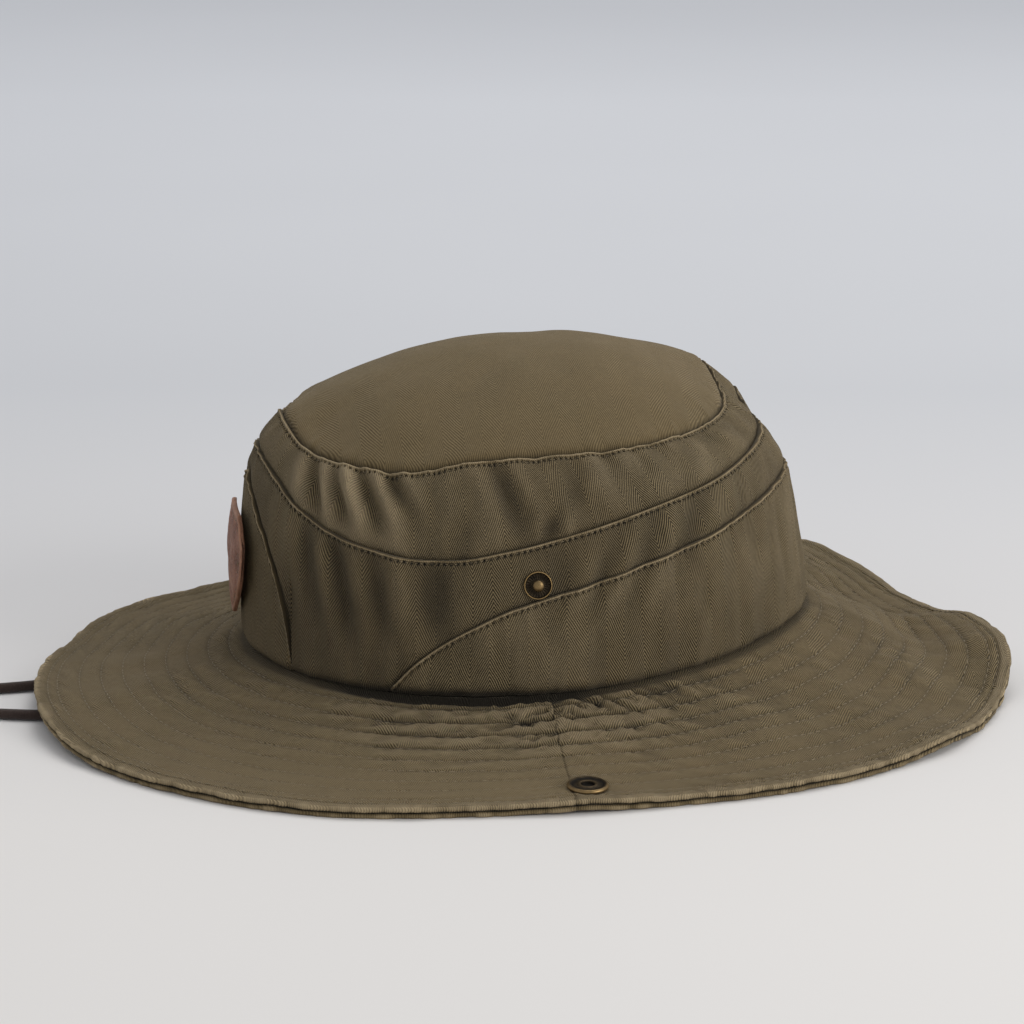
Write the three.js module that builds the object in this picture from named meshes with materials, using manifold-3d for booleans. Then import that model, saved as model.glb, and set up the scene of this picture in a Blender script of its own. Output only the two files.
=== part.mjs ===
// A bush hat: a soft cloth crown of six panels on a two-ply brim, with snaps, a leather patch and a chin cord.
// Millimetres, +Z up. The front of the hat faces -X and the wearer's left side faces -Y.
// A turn is an angle in degrees about Z, from 0 at the back of the hat through 180 at the front.
import * as THREE from "three";
import { mergeVertices } from "three/addons/utils/BufferGeometryUtils.js";
import Module from "manifold-3d";

// The crown, measured on its outside.
const crown_base_length = 198;
const crown_base_width = 160;
const crown_base_squareness = 2.05;
const crown_top_length = 153;
const crown_top_width = 128;
const crown_top_squareness = 2.2;
const crown_top_setback = 8.3;
const crown_seam_height = 29;
const crown_height = 102;
const dome_rise = 19;
const dome_setback = 5;
const dome_roundness = 2.2;
const cloth_thickness = 1.6;
const seam_gap = 0.3;
const back_seam_turn = -12;

// The brim, two plies of cloth sewn together.
const brim_width = 70;
const brim_ply = 1.8;
const brim_ply_gap = 0.3;
const brim_lift = 18;
const brim_fold = 10;
const brim_slope_power = 1.9;
const brim_flat_start = 0.94;
const brim_seam_turn = 91.5;

// The press studs: a stud on each side of the crown, a socket on each side of the brim.
const stud_turn = 93.4;
const stud_height = 0.491;
const stud_diameter = 9.5;
const stud_rim_height = 1.3;
const stud_ball_diameter = 4.1;
const stud_ball_height = 3;
const stud_shank_diameter = 3;
const stud_washer_diameter = 8;
const stud_washer_thickness = 0.8;
const socket_turn = 89.5;
const socket_reach = 0.84;
const socket_diameter = 13.5;
const socket_rim_height = 1.4;
const socket_hole_diameter = 4.4;
const socket_floor_thickness = 0.4;
const socket_shank_diameter = 3.6;
const socket_cap_diameter = 8;
const socket_cap_thickness = 0.5;
const snap_clearance = 0.35;

// The leather patch at the front of the crown.
const patch_width = 44;
const patch_height = 37;
const patch_bottom = 10;
const patch_thickness = 2.6;
const patch_edge_lift = 2.3;
const patch_clearance = 0.55;

// The chin cord and its slider, laid on the surface that the hat rests on.
const cord_diameter = 3.6;
const cord_sides = 8;
const cord_steps = 72;
const cord_floor_clearance = 0.2;
const slider_length = 12;
const slider_width = 15;
const slider_height = 7;
const slider_hole_clearance = 0.3;
const slider_hole_spacing = 6.4;
const slider_x = -221;
const slider_y = -12;

// Fineness of the faceted cloth.
const turn_step = 6;
const nearest_columns = 0.25;
const band_row_count = 3;
const arch_row_count = 4;

// Height of the crown's seam on the brim, as a share of crown_seam_height.
const base_rows = [
  { turn: 0, height: 1.0 },
  { turn: 30, height: 0.95 },
  { turn: 60, height: 0.775 },
  { turn: 90, height: 0.6 },
  { turn: 120, height: 0.55 },
  { turn: 150, height: 0.565 },
  { turn: 180, height: 0.6 },
  { turn: 210, height: 0.565 },
  { turn: 240, height: 0.55 },
  { turn: 270, height: 0.6 },
  { turn: 300, height: 0.76 },
  { turn: 330, height: 0.935 },
  { turn: 360, height: 1.0 },
];

// Height of the seam round the crown's top, as a share of crown_height.
const top_rows = [
  { turn: 0, height: 1.0 },
  { turn: 25, height: 1.025 },
  { turn: 45, height: 1.02 },
  { turn: 65, height: 0.99 },
  { turn: 90, height: 0.96 },
  { turn: 125, height: 0.94 },
  { turn: 155, height: 0.95 },
  { turn: 180, height: 0.965 },
  { turn: 192, height: 0.946 },
  { turn: 205, height: 0.902 },
  { turn: 218, height: 0.882 },
  { turn: 240, height: 0.875 },
  { turn: 250, height: 0.898 },
  { turn: 262, height: 0.926 },
  { turn: 290, height: 0.935 },
  { turn: 310, height: 0.949 },
  { turn: 335, height: 0.97 },
  { turn: 360, height: 1.0 },
];

// How far the wall has drawn in from its base (0) to the top seam (1), at the front, back and sides.
const wall_rows = [
  { height: 0, front: 0, back: 0, side: 0 },
  { height: 0.12, front: -0.04, back: 0.02, side: 0 },
  { height: 0.38, front: -0.05, back: 0.13, side: 0.05 },
  { height: 0.65, front: 0.08, back: 0.25, side: 0.22 },
  { height: 0.83, front: 0.34, back: 0.44, side: 0.5 },
  { height: 0.93, front: 0.62, back: 0.68, side: 0.75 },
  { height: 1, front: 1, back: 1, side: 1 },
];

// The seam between the upper and middle bands: share of the wall's height by the angle from the back.
const upper_seam_rows = [
  { turn: 0, height: 0.895 },
  { turn: 12, height: 0.893 },
  { turn: 31, height: 0.863 },
  { turn: 50, height: 0.808 },
  { turn: 65, height: 0.768 },
  { turn: 84, height: 0.696 },
  { turn: 100, height: 0.634 },
  { turn: 108, height: 0.62 },
  { turn: 116, height: 0.632 },
  { turn: 133, height: 0.685 },
  { turn: 150, height: 0.786 },
  { turn: 160, height: 0.838 },
  { turn: 170, height: 0.855 },
  { turn: 180, height: 0.86 },
];

// The seam over the rear panels, from the back to where it runs out into the brim.
const rear_seam_rows = [
  { turn: 0, height: 0.7 },
  { turn: 12, height: 0.7 },
  { turn: 25, height: 0.68 },
  { turn: 38, height: 0.652 },
  { turn: 58, height: 0.578 },
  { turn: 70, height: 0.534 },
  { turn: 83, height: 0.473 },
  { turn: 97, height: 0.4 },
  { turn: 109, height: 0.288 },
  { turn: 117, height: 0.172 },
  { turn: 124.3, height: 0 },
];

// The pointed arch of the front panel, from the brim up to its tip at the front.
const arch_rows = [
  { turn: 149.2, height: 0 },
  { turn: 149.5, height: 0.05 },
  { turn: 150, height: 0.15 },
  { turn: 151.3, height: 0.3 },
  { turn: 154, height: 0.425 },
  { turn: 156.5, height: 0.492 },
  { turn: 161, height: 0.58 },
  { turn: 168, height: 0.66 },
  { turn: 175, height: 0.715 },
  { turn: 180, height: 0.75 },
];

// The brim's outline and the height of its edge, as shares of brim_width and brim_lift.
const brim_rows = [
  { turn: 0, width: 0.88, lift: 0.66 },
  { turn: 10, width: 0.83, lift: 0.34 },
  { turn: 20, width: 0.84, lift: 0.34 },
  { turn: 30, width: 0.89, lift: 0.58 },
  { turn: 40, width: 0.9, lift: 0.83 },
  { turn: 50, width: 0.91, lift: 0.55 },
  { turn: 60, width: 0.93, lift: 0.3 },
  { turn: 70, width: 0.94, lift: 0.12 },
  { turn: 80, width: 0.96, lift: 0 },
  { turn: 90, width: 0.965, lift: 0.06 },
  { turn: 100, width: 0.965, lift: 0 },
  { turn: 120, width: 0.96, lift: 0 },
  { turn: 135, width: 0.97, lift: 0 },
  { turn: 150, width: 0.98, lift: 0.09 },
  { turn: 165, width: 0.945, lift: 0.16 },
  { turn: 180, width: 1.02, lift: 0.26 },
  { turn: 192, width: 1.09, lift: 0.26 },
  { turn: 200, width: 1.135, lift: 0.17 },
  { turn: 208, width: 1.155, lift: 0.06 },
  { turn: 215, width: 1.15, lift: 0 },
  { turn: 230, width: 1.14, lift: 0 },
  { turn: 240, width: 1.12, lift: 0 },
  { turn: 250, width: 1.055, lift: 0 },
  { turn: 260, width: 0.995, lift: 0 },
  { turn: 270, width: 0.98, lift: 0.06 },
  { turn: 280, width: 0.965, lift: 0 },
  { turn: 290, width: 0.985, lift: 0 },
  { turn: 305, width: 1.01, lift: 0 },
  { turn: 312, width: 1.015, lift: 0.02 },
  { turn: 320, width: 1.035, lift: 0.13 },
  { turn: 330, width: 1.02, lift: 0 },
  { turn: 338, width: 1.01, lift: 0.03 },
  { turn: 345, width: 1.02, lift: 0.43 },
  { turn: 350, width: 0.985, lift: 0.72 },
  { turn: 360, width: 0.88, lift: 0.66 },
];

// Soft folds in the brim: where each lies, how wide and long it is, and its rise as a share of brim_fold.
const fold_rows = [
  { turn: 337, spread: 9, reach: 0.55, length: 0.3, rise: 0.55 },
  { turn: 352, spread: 8, reach: 0.6, length: 0.24, rise: -0.7 },
  { turn: 12, spread: 9, reach: 0.65, length: 0.25, rise: -0.3 },
  { turn: 36, spread: 12, reach: 0.6, length: 0.3, rise: 0.3 },
  { turn: 300, spread: 9, reach: 0.5, length: 0.25, rise: 0.15 },
  { turn: 160, spread: 10, reach: 0.5, length: 0.3, rise: 0.2 },
];

// Rows of facets from the brim's inner edge, counted from the crown's seam, and from the dome's rim to its top.
const brim_reaches = [0.25, 0.5, 0.74, brim_flat_start, 1];
const dome_steps = [0.14, 0.34, 0.58, 0.8, 1];

// The patch's outline: its half width as a share of patch_width / 2 by the share of its height.
const patch_rows = [
  { up: 0, half: 0.08 },
  { up: 0.1, half: 0.32 },
  { up: 0.28, half: 0.72 },
  { up: 0.5, half: 0.95 },
  { up: 0.75, half: 1.0 },
  { up: 0.92, half: 0.8 },
  { up: 1, half: 0.55 },
];
const patch_columns = [-1, -0.6, -0.2, 0.2, 0.6, 1];

// The cord's route, from inside the crown's left side round through the slider to the right side.
const cord_floor = cord_diameter / 2 + cord_floor_clearance;
const slider_middle = slider_height / 2;
const cord_left_y = slider_y - slider_hole_spacing / 2;
const cord_right_y = slider_y + slider_hole_spacing / 2;
const cord_points = [
  [1, -75.6, 24],
  [0, -75.4, 13.5],
  [-1.2, -74.7, 7.6],
  [-4.6, -72.7, 3.7],
  [-10.2, -69.4, 2.3],
  [-22, -62.5, cord_floor],
  [-58, -49, cord_floor],
  [-110, -38, cord_floor],
  [-168, -31.5, cord_floor],
  [-196, -23, cord_floor],
  [slider_x + slider_length * 0.75, cord_left_y, slider_middle],
  [slider_x, cord_left_y, slider_middle],
  [slider_x - slider_length * 0.75, cord_left_y, slider_middle],
  [-240, -16.4, cord_floor],
  [-249, -19.5, cord_floor],
  [-257, -21.6, cord_floor],
  [-262.8, -19.8, cord_floor],
  [-266.2, -15, cord_floor],
  [-266.2, -9, cord_floor],
  [-262.8, -4.2, cord_floor],
  [-257, -2.4, cord_floor],
  [-249, -4.5, cord_floor],
  [-240, -7.6, cord_floor],
  [slider_x - slider_length * 0.75, cord_right_y, slider_middle],
  [slider_x, cord_right_y, slider_middle],
  [slider_x + slider_length * 0.75, cord_right_y, slider_middle],
  [-196, -1, cord_floor],
  [-168, 3.5, cord_floor],
  [-110, 22, cord_floor],
  [-58, 45, cord_floor],
  [-22, 62, cord_floor],
  [-10.2, 69.4, 2.3],
  [-4.6, 72.7, 3.7],
  [-1.2, 74.7, 7.6],
  [0, 75.4, 13.5],
  [1, 75.6, 24],
];

const brim_stack = 2 * brim_ply + brim_ply_gap;
const back_turn = back_seam_turn + 360;
const left = (turn) => 360 - turn;

// A smooth curve through one column of a table, which never overshoots its rows.
function readRows(rows, key, column, at) {
  const last = rows.length - 1;
  const place = THREE.MathUtils.clamp(at, rows[0][key], rows[last][key]);
  const slopes = [];
  for (let i = 0; i < last; i++) {
    slopes.push((rows[i + 1][column] - rows[i][column]) / (rows[i + 1][key] - rows[i][key]));
  }
  const tangentAt = (i) => {
    const before = slopes[Math.max(i - 1, 0)];
    const after = slopes[Math.min(i, last - 1)];
    return before * after <= 0 ? 0 : (2 * before * after) / (before + after);
  };
  let i = 0;
  while (i < last - 1 && place > rows[i + 1][key]) i++;
  const span = rows[i + 1][key] - rows[i][key];
  const t = (place - rows[i][key]) / span;
  const start = (2 * t ** 3 - 3 * t ** 2 + 1) * rows[i][column];
  const leave = (t ** 3 - 2 * t ** 2 + t) * span * tangentAt(i);
  const end = (-2 * t ** 3 + 3 * t ** 2) * rows[i + 1][column];
  const arrive = (t ** 3 - t ** 2) * span * tangentAt(i + 1);
  return start + leave + end + arrive;
}

const wrapTurn = (turn) => ((turn % 360) + 360) % 360;
const fromBack = (turn) => Math.min(wrapTurn(turn), 360 - wrapTurn(turn));

// The unit outline of a soft oval: an ellipse when its squareness is 2.
function ovalAt(turn, squareness) {
  const angle = THREE.MathUtils.degToRad(turn);
  const c = Math.cos(angle);
  const s = Math.sin(angle);
  const size = (Math.abs(c) ** squareness + Math.abs(s) ** squareness) ** (-1 / squareness);
  return { x: c * size, y: s * size };
}

// A point on the outside of the crown's wall, height going from 0 at the brim to 1 at the top seam.
function crownPoint(turn, height) {
  const base = ovalAt(turn, crown_base_squareness);
  const top = ovalAt(turn, crown_top_squareness);
  const front_share = Math.max(-base.x, 0) ** 2;
  const back_share = Math.max(base.x, 0) ** 2;
  const side_share = 1 - front_share - back_share;
  const drawn =
    front_share * readRows(wall_rows, "height", "front", height) +
    back_share * readRows(wall_rows, "height", "back", height) +
    side_share * readRows(wall_rows, "height", "side", height);
  const base_x = (crown_base_length / 2) * base.x;
  const base_y = (crown_base_width / 2) * base.y;
  const top_x = (crown_top_length / 2) * top.x - crown_top_setback;
  const top_y = (crown_top_width / 2) * top.y;
  const low = crown_seam_height * readRows(base_rows, "turn", "height", wrapTurn(turn));
  const high = crown_height * readRows(top_rows, "turn", "height", wrapTurn(turn));
  return new THREE.Vector3(
    THREE.MathUtils.lerp(base_x, top_x, drawn),
    THREE.MathUtils.lerp(base_y, top_y, drawn),
    THREE.MathUtils.lerp(low, high, height),
  );
}

// A point on the crown's top, going from 0 at its seam to 1 at its highest point.
function domePoint(turn, inward) {
  const rim = crownPoint(turn, 1);
  const peak = crown_height + dome_rise;
  const rise = 1 - (1 - inward) ** dome_roundness;
  return new THREE.Vector3(
    THREE.MathUtils.lerp(rim.x, dome_setback, inward),
    THREE.MathUtils.lerp(rim.y, 0, inward),
    THREE.MathUtils.lerp(rim.z, peak, rise),
  );
}

// The outward direction of a surface that is given by two shares, from small steps along each.
function normalOf(surface, turn, across) {
  const turn_nudge = 0.5;
  const across_nudge = 0.004;
  const low = Math.max(across - across_nudge, 0);
  const high = Math.min(across + across_nudge, 1);
  const along = surface(turn + turn_nudge, across).sub(surface(turn - turn_nudge, across));
  const up = surface(turn, high).sub(surface(turn, low));
  return along.cross(up).normalize();
}

// The wall and the dome share one direction at the top seam, so that their cut edges face each other.
const seam_zone = 0.1;
function seamNormal(turn) {
  const wall = normalOf(crownPoint, turn, 0.99);
  const dome = normalOf(domePoint, turn, 0.03);
  return wall.add(dome).normalize();
}
function crownNormal(turn, height) {
  const normal = normalOf(crownPoint, turn, height);
  if (height < seam_zone) {
    normal.z *= height / seam_zone;
    normal.normalize();
  }
  const near_top = Math.max(0, (height - 1 + seam_zone) / seam_zone);
  return normal.lerp(seamNormal(turn), near_top).normalize();
}
function domeNormal(turn, inward) {
  if (inward > 0.99) return new THREE.Vector3(0, 0, 1);
  const near_rim = Math.max(0, (seam_zone - inward) / seam_zone);
  return normalOf(domePoint, turn, inward).lerp(seamNormal(turn), near_rim).normalize();
}

// Half of a seam's gap as a share of the wall's height, wider where the seam runs steeply.
function gapShare(seam, turn) {
  const nudge = 0.2;
  const middle = crownPoint(turn, 0.4);
  const arc = middle.distanceTo(crownPoint(turn + nudge, 0.4));
  const wall_height = crownPoint(turn, 1).z - crownPoint(turn, 0).z;
  const forward = Math.abs(seam(turn + nudge) - seam(turn));
  const backward = Math.abs(seam(turn) - seam(turn - nudge));
  const steepness = (Math.max(forward, backward) * wall_height) / arc;
  return ((seam_gap / 2) * Math.hypot(1, steepness)) / wall_height;
}

const brimGapShare = (turn) => seam_gap / (crownPoint(turn, 1).z - crownPoint(turn, 0).z);
const upperSeam = (turn) => readRows(upper_seam_rows, "turn", "height", fromBack(turn));
const rearSeam = (turn) => readRows(rear_seam_rows, "turn", "height", fromBack(turn));
const archSeam = (turn) => readRows(arch_rows, "turn", "height", fromBack(turn));
const rear_seam_end = rear_seam_rows[rear_seam_rows.length - 1].turn;
const arch_start = arch_rows[0].turn;

// The lower edge of the middle band: over the rear panels, down on the brim, then over the front arch.
function middleBandFoot(turn) {
  const angle = fromBack(turn);
  if (angle < rear_seam_end) return Math.max(rearSeam(turn) + gapShare(rearSeam, turn), brimGapShare(turn));
  if (angle < arch_start) return brimGapShare(turn);
  return Math.max(archSeam(turn) + gapShare(archSeam, turn), brimGapShare(turn));
}

// Shared columns keep the facets of neighbouring panels in step, with more of them round the arch.
function columnsBetween(start, end, row_count) {
  const wanted = [];
  for (let turn = Math.ceil(start / turn_step) * turn_step; turn < end; turn += turn_step) wanted.push(turn);
  const corners = row_count < arch_row_count ? [] : [...arch_rows.slice(0, -1), { turn: rear_seam_end }];
  for (const row of corners) wanted.push(row.turn, left(row.turn));
  const inside = wanted.filter((turn) => turn > start + nearest_columns && turn < end - nearest_columns);
  inside.sort((a, b) => a - b);
  const kept = inside.filter((turn, i) => i === 0 || turn - inside[i - 1] >= nearest_columns);
  return [start, ...kept, end];
}

// Turns one patch of points into a closed sheet: an outside, an inside and a rim all round.
function sheetSolid(outer, inner, closed_round) {
  const columns = outer.length;
  const rows = outer[0].length;
  const points = [...outer.flat(), ...inner.flat()];
  const outside = (i, j) => (i % columns) * rows + j;
  const inside = (i, j) => columns * rows + outside(i, j);
  const index = [];
  const quad = (a, b, c, d) => index.push(a, b, c, a, c, d);
  const last = closed_round ? columns : columns - 1;
  for (let i = 0; i < last; i++) {
    for (let j = 0; j < rows - 1; j++) {
      quad(outside(i, j), outside(i + 1, j), outside(i + 1, j + 1), outside(i, j + 1));
      quad(inside(i, j), inside(i, j + 1), inside(i + 1, j + 1), inside(i + 1, j));
    }
    quad(inside(i, 0), inside(i + 1, 0), outside(i + 1, 0), outside(i, 0));
    quad(outside(i, rows - 1), outside(i + 1, rows - 1), inside(i + 1, rows - 1), inside(i, rows - 1));
  }
  if (!closed_round) {
    for (let j = 0; j < rows - 1; j++) {
      quad(outside(0, j), outside(0, j + 1), inside(0, j + 1), inside(0, j));
      quad(inside(last, j), inside(last, j + 1), outside(last, j + 1), outside(last, j));
    }
  }
  return indexedGeometry(points, index);
}

function indexedGeometry(points, index) {
  const geometry = new THREE.BufferGeometry();
  const numbers = points.flatMap((point) => [point.x, point.y, point.z]);
  geometry.setAttribute("position", new THREE.Float32BufferAttribute(numbers, 3));
  geometry.setIndex(index);
  return withoutSlivers(geometry);
}

// Merges points that meet, as at the top of the dome, and leaves out the triangles that close up.
function withoutSlivers(geometry) {
  const merged = mergeVertices(geometry, 1e-3);
  const corners = Array.from(merged.index.array);
  const kept = [];
  for (let i = 0; i < corners.length; i += 3) {
    const [a, b, c] = corners.slice(i, i + 3);
    if (a !== b && b !== c && c !== a) kept.push(a, b, c);
  }
  merged.setIndex(kept);
  return merged;
}

// A panel of the crown's wall between two seams.
function wallPanel(start, end, foot, head, row_count) {
  const outer = [];
  const inner = [];
  for (const turn of columnsBetween(start, end, row_count)) {
    const outer_column = [];
    const inner_column = [];
    for (let j = 0; j <= row_count; j++) {
      const height = THREE.MathUtils.lerp(foot(turn), head(turn), j / row_count);
      const point = crownPoint(turn, height);
      outer_column.push(point);
      inner_column.push(point.clone().addScaledVector(crownNormal(turn, height), -cloth_thickness));
    }
    outer.push(outer_column);
    inner.push(inner_column);
  }
  return sheetSolid(outer, inner, false);
}

function crownTop() {
  const outer = [];
  const inner = [];
  for (let turn = 0; turn < 360; turn += turn_step) {
    const rim_to_peak = crownPoint(turn, 1).distanceTo(domePoint(turn, 1));
    const steps = [seam_gap / 2 / rim_to_peak, ...dome_steps];
    const points = steps.map((step) => domePoint(turn, step));
    outer.push(points);
    inner.push(
      points.map((point, j) => point.clone().addScaledVector(domeNormal(turn, steps[j]), -cloth_thickness)),
    );
  }
  return sheetSolid(outer, inner, true);
}

// The brim's upper face, reach going from 0 at the crown's seam to 1 at the edge.
function brimPoint(turn, reach) {
  const foot = crownPoint(turn, 0);
  const base = ovalAt(turn, crown_base_squareness);
  const outward = new THREE.Vector2(base.x / crown_base_length, base.y / crown_base_width).normalize();
  const width = brim_width * readRows(brim_rows, "turn", "width", wrapTurn(turn));
  const distance = reach < 0 ? -cloth_thickness : width * reach;
  const edge = brim_stack + brim_lift * readRows(brim_rows, "turn", "lift", wrapTurn(turn));
  const slope = Math.max(1 - Math.max(reach, 0) / brim_flat_start, 0) ** brim_slope_power;
  const height = edge + (foot.z - edge) * slope + brimFold(turn, reach);
  return new THREE.Vector3(foot.x + outward.x * distance, foot.y + outward.y * distance, height);
}

function brimFold(turn, reach) {
  if (reach <= 0 || reach >= brim_flat_start) return 0;
  const fade = Math.sin((Math.PI * reach) / brim_flat_start);
  return fold_rows.reduce((sum, row) => {
    const away = THREE.MathUtils.euclideanModulo(turn - row.turn + 180, 360) - 180;
    const around = Math.exp(-((away / row.spread) ** 2));
    const along = Math.exp(-(((reach - row.reach) / row.length) ** 2));
    return sum + brim_fold * row.rise * fade * around * along;
  }, 0);
}

// Half of the brim in one ply: its upper face lies the given depth under the brim's upper face.
function brimHalf(start, end, depth) {
  const half_gap = THREE.MathUtils.radToDeg(seam_gap / crown_base_width);
  const outer = [];
  const inner = [];
  for (const turn of brimColumns(start + half_gap, end - half_gap)) {
    const points = [-1, 0, ...brim_reaches].map((reach) => brimPoint(turn, reach));
    outer.push(points.map((point) => point.clone().setZ(point.z - depth - brim_ply)));
    inner.push(points.map((point) => point.clone().setZ(point.z - depth)));
  }
  return sheetSolid(outer, inner, false);
}

function brimColumns(start, end) {
  const turns = [start];
  for (let turn = Math.ceil(start / turn_step) * turn_step; turn < end; turn += turn_step) {
    if (turn > start + nearest_columns && turn < end - nearest_columns) turns.push(turn);
  }
  return [...turns, end];
}

// The direction a snap on the brim faces: square to the cloth.
function brimNormal(turn, reach) {
  const normal = normalOf(brimPoint, turn, reach);
  return normal.z < 0 ? normal.negate() : normal;
}

const { Manifold, Mesh: ManifoldMesh } = await loadSolids();
async function loadSolids() {
  const wasm = await Module();
  wasm.setup();
  return wasm;
}

function toSolid(geometry) {
  const bare = geometry.clone();
  bare.deleteAttribute("normal");
  bare.deleteAttribute("uv");
  const merged = withoutSlivers(bare);
  return new Manifold(
    new ManifoldMesh({
      numProp: 3,
      vertProperties: merged.attributes.position.array,
      triVerts: new Uint32Array(merged.index.array),
    }),
  );
}

function toGeometry(solid) {
  const mesh = solid.getMesh();
  const geometry = new THREE.BufferGeometry();
  geometry.setAttribute("position", new THREE.BufferAttribute(mesh.vertProperties, 3));
  geometry.setIndex(new THREE.BufferAttribute(mesh.triVerts, 1));
  return geometry;
}

// Cuts round holes, each given by its place, direction and diameter, through a sheet.
function withHoles(geometry, holes) {
  let solid = toSolid(geometry);
  for (const hole of holes) {
    const cutter = new THREE.CylinderGeometry(hole.diameter / 2, hole.diameter / 2, hole.length, 12);
    placeOnCloth(cutter, hole.point, hole.direction);
    solid = solid.subtract(toSolid(cutter));
  }
  return toGeometry(solid);
}

// Turns a piece that was made along +Y so that it stands on the cloth.
function placeOnCloth(geometry, point, direction) {
  const turned = new THREE.Quaternion().setFromUnitVectors(new THREE.Vector3(0, 1, 0), direction);
  geometry.applyQuaternion(turned);
  geometry.translate(point.x, point.y, point.z);
}

const snap_sides = 16;
function lathe(outline) {
  return new THREE.LatheGeometry(
    outline.map(([radius, height]) => new THREE.Vector2(radius, height)),
    snap_sides,
  );
}

// A press stud: a dished rim and a ball outside, a shank through the cloth and a washer inside.
function studSolid(turn) {
  const seat = snap_clearance;
  const back = -cloth_thickness - snap_clearance;
  const dish = seat + stud_rim_height * 0.45;
  const piece = lathe([
    [0, back - stud_washer_thickness],
    [stud_washer_diameter / 2, back - stud_washer_thickness],
    [stud_washer_diameter / 2, back],
    [stud_shank_diameter / 2, back],
    [stud_shank_diameter / 2, seat],
    [stud_diameter / 2, seat],
    [stud_diameter / 2, seat + stud_rim_height],
    [stud_diameter / 2 - stud_rim_height / 2, seat + stud_rim_height],
    [stud_diameter / 2 - stud_rim_height, dish],
    [stud_ball_diameter * 0.4, dish],
    [stud_ball_diameter / 2, seat + stud_ball_height * 0.6],
    [stud_ball_diameter * 0.35, seat + stud_ball_height * 0.9],
    [0, seat + stud_ball_height],
  ]);
  placeOnCloth(piece, crownPoint(turn, stud_height), crownNormal(turn, stud_height));
  return piece;
}

// A press-stud socket: a domed ring with a hole outside, a shank through both plies and a small cap below.
function socketSolid(turn) {
  const direction = brimNormal(turn, socket_reach);
  const seat = snap_clearance;
  const back = -brim_stack * direction.z - snap_clearance;
  const piece = lathe([
    [0, back - socket_cap_thickness],
    [socket_cap_diameter / 2, back - socket_cap_thickness],
    [socket_cap_diameter / 2, back],
    [socket_shank_diameter / 2, back],
    [socket_shank_diameter / 2, seat],
    [socket_diameter / 2, seat],
    [socket_diameter / 2, seat + socket_rim_height * 0.5],
    [socket_diameter / 2 - socket_rim_height, seat + socket_rim_height],
    [socket_hole_diameter / 2, seat + socket_rim_height * 0.8],
    [socket_hole_diameter / 2, seat + socket_floor_thickness],
    [0, seat + socket_floor_thickness],
  ]);
  placeOnCloth(piece, brimPoint(turn, socket_reach), direction);
  return piece;
}

const studHole = (turn) => ({
  point: crownPoint(turn, stud_height),
  direction: crownNormal(turn, stud_height),
  diameter: stud_shank_diameter + 2 * snap_clearance,
  length: 6 * cloth_thickness,
});
const socketHole = (turn) => ({
  point: brimPoint(turn, socket_reach),
  direction: brimNormal(turn, socket_reach),
  diameter: socket_shank_diameter + 2 * snap_clearance,
  length: 4 * brim_stack,
});

// The leather patch follows the front of the crown at its middle and stands off at its edges.
function frontPatch() {
  const outer = [];
  const inner = [];
  for (const column of patch_columns) {
    const outer_column = [];
    const inner_column = [];
    for (const row of patch_rows) {
      const across = (column * row.half * patch_width) / 2;
      const turn = 180 + THREE.MathUtils.radToDeg(Math.asin(across / (crown_base_width / 2)));
      const low = crownPoint(turn, 0).z;
      const high = crownPoint(turn, 1).z;
      const height = (patch_bottom + row.up * patch_height) / (high - low);
      const normal = crownNormal(turn, height);
      const lift = patch_clearance + patch_edge_lift * (column * row.half) ** 2;
      const point = crownPoint(turn, height).addScaledVector(normal, lift);
      inner_column.push(point);
      outer_column.push(point.clone().addScaledVector(normal, patch_thickness));
    }
    outer.push(outer_column);
    inner.push(inner_column);
  }
  return sheetSolid(outer, inner, false);
}

function chinCord() {
  const points = cord_points.map(([x, y, z]) => new THREE.Vector3(x, y, z));
  const route = new THREE.CatmullRomCurve3(points, false, "centripetal");
  const section = new THREE.Shape();
  for (let i = 0; i < cord_sides; i++) {
    const angle = (2 * Math.PI * i) / cord_sides;
    const x = (Math.cos(angle) * cord_diameter) / 2;
    const y = (Math.sin(angle) * cord_diameter) / 2;
    if (i === 0) section.moveTo(x, y);
    else section.lineTo(x, y);
  }
  section.closePath();
  return new THREE.ExtrudeGeometry(section, { steps: cord_steps, extrudePath: route, bevelEnabled: false });
}

// The slider: an oval bar with two holes side by side, lying flat.
function cordSlider() {
  const radius = slider_height / 2;
  const reach = slider_width / 2 - radius;
  const outline = new THREE.Shape();
  outline.moveTo(-reach, -radius);
  outline.lineTo(reach, -radius);
  outline.absarc(reach, 0, radius, -Math.PI / 2, Math.PI / 2, false);
  outline.lineTo(-reach, radius);
  outline.absarc(-reach, 0, radius, Math.PI / 2, (3 * Math.PI) / 2, false);
  for (const side of [-1, 1]) {
    const hole = new THREE.Path();
    const hole_radius = cord_diameter / 2 + slider_hole_clearance;
    hole.absarc((side * slider_hole_spacing) / 2, 0, hole_radius, 0, 2 * Math.PI, true);
    outline.holes.push(hole);
  }
  const bar = new THREE.ExtrudeGeometry(outline, { depth: slider_length, bevelEnabled: false, curveSegments: 8 });
  bar.translate(0, 0, -slider_length / 2);
  bar.rotateX(Math.PI / 2);
  bar.rotateZ(Math.PI / 2);
  return bar;
}

const olive_cloth = new THREE.MeshStandardMaterial({ color: 0x5f5747, roughness: 0.95, metalness: 0 });
const brown_leather = new THREE.MeshStandardMaterial({ color: 0x5a3b2e, roughness: 0.7, metalness: 0 });
const dark_cord = new THREE.MeshStandardMaterial({ color: 0x3c2d2a, roughness: 0.9, metalness: 0 });
const aged_brass = new THREE.MeshStandardMaterial({ color: 0x7a6845, roughness: 0.4, metalness: 0.9 });

function named(name, geometry, material) {
  const mesh = new THREE.Mesh(geometry, material);
  mesh.name = name;
  return mesh;
}

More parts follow.
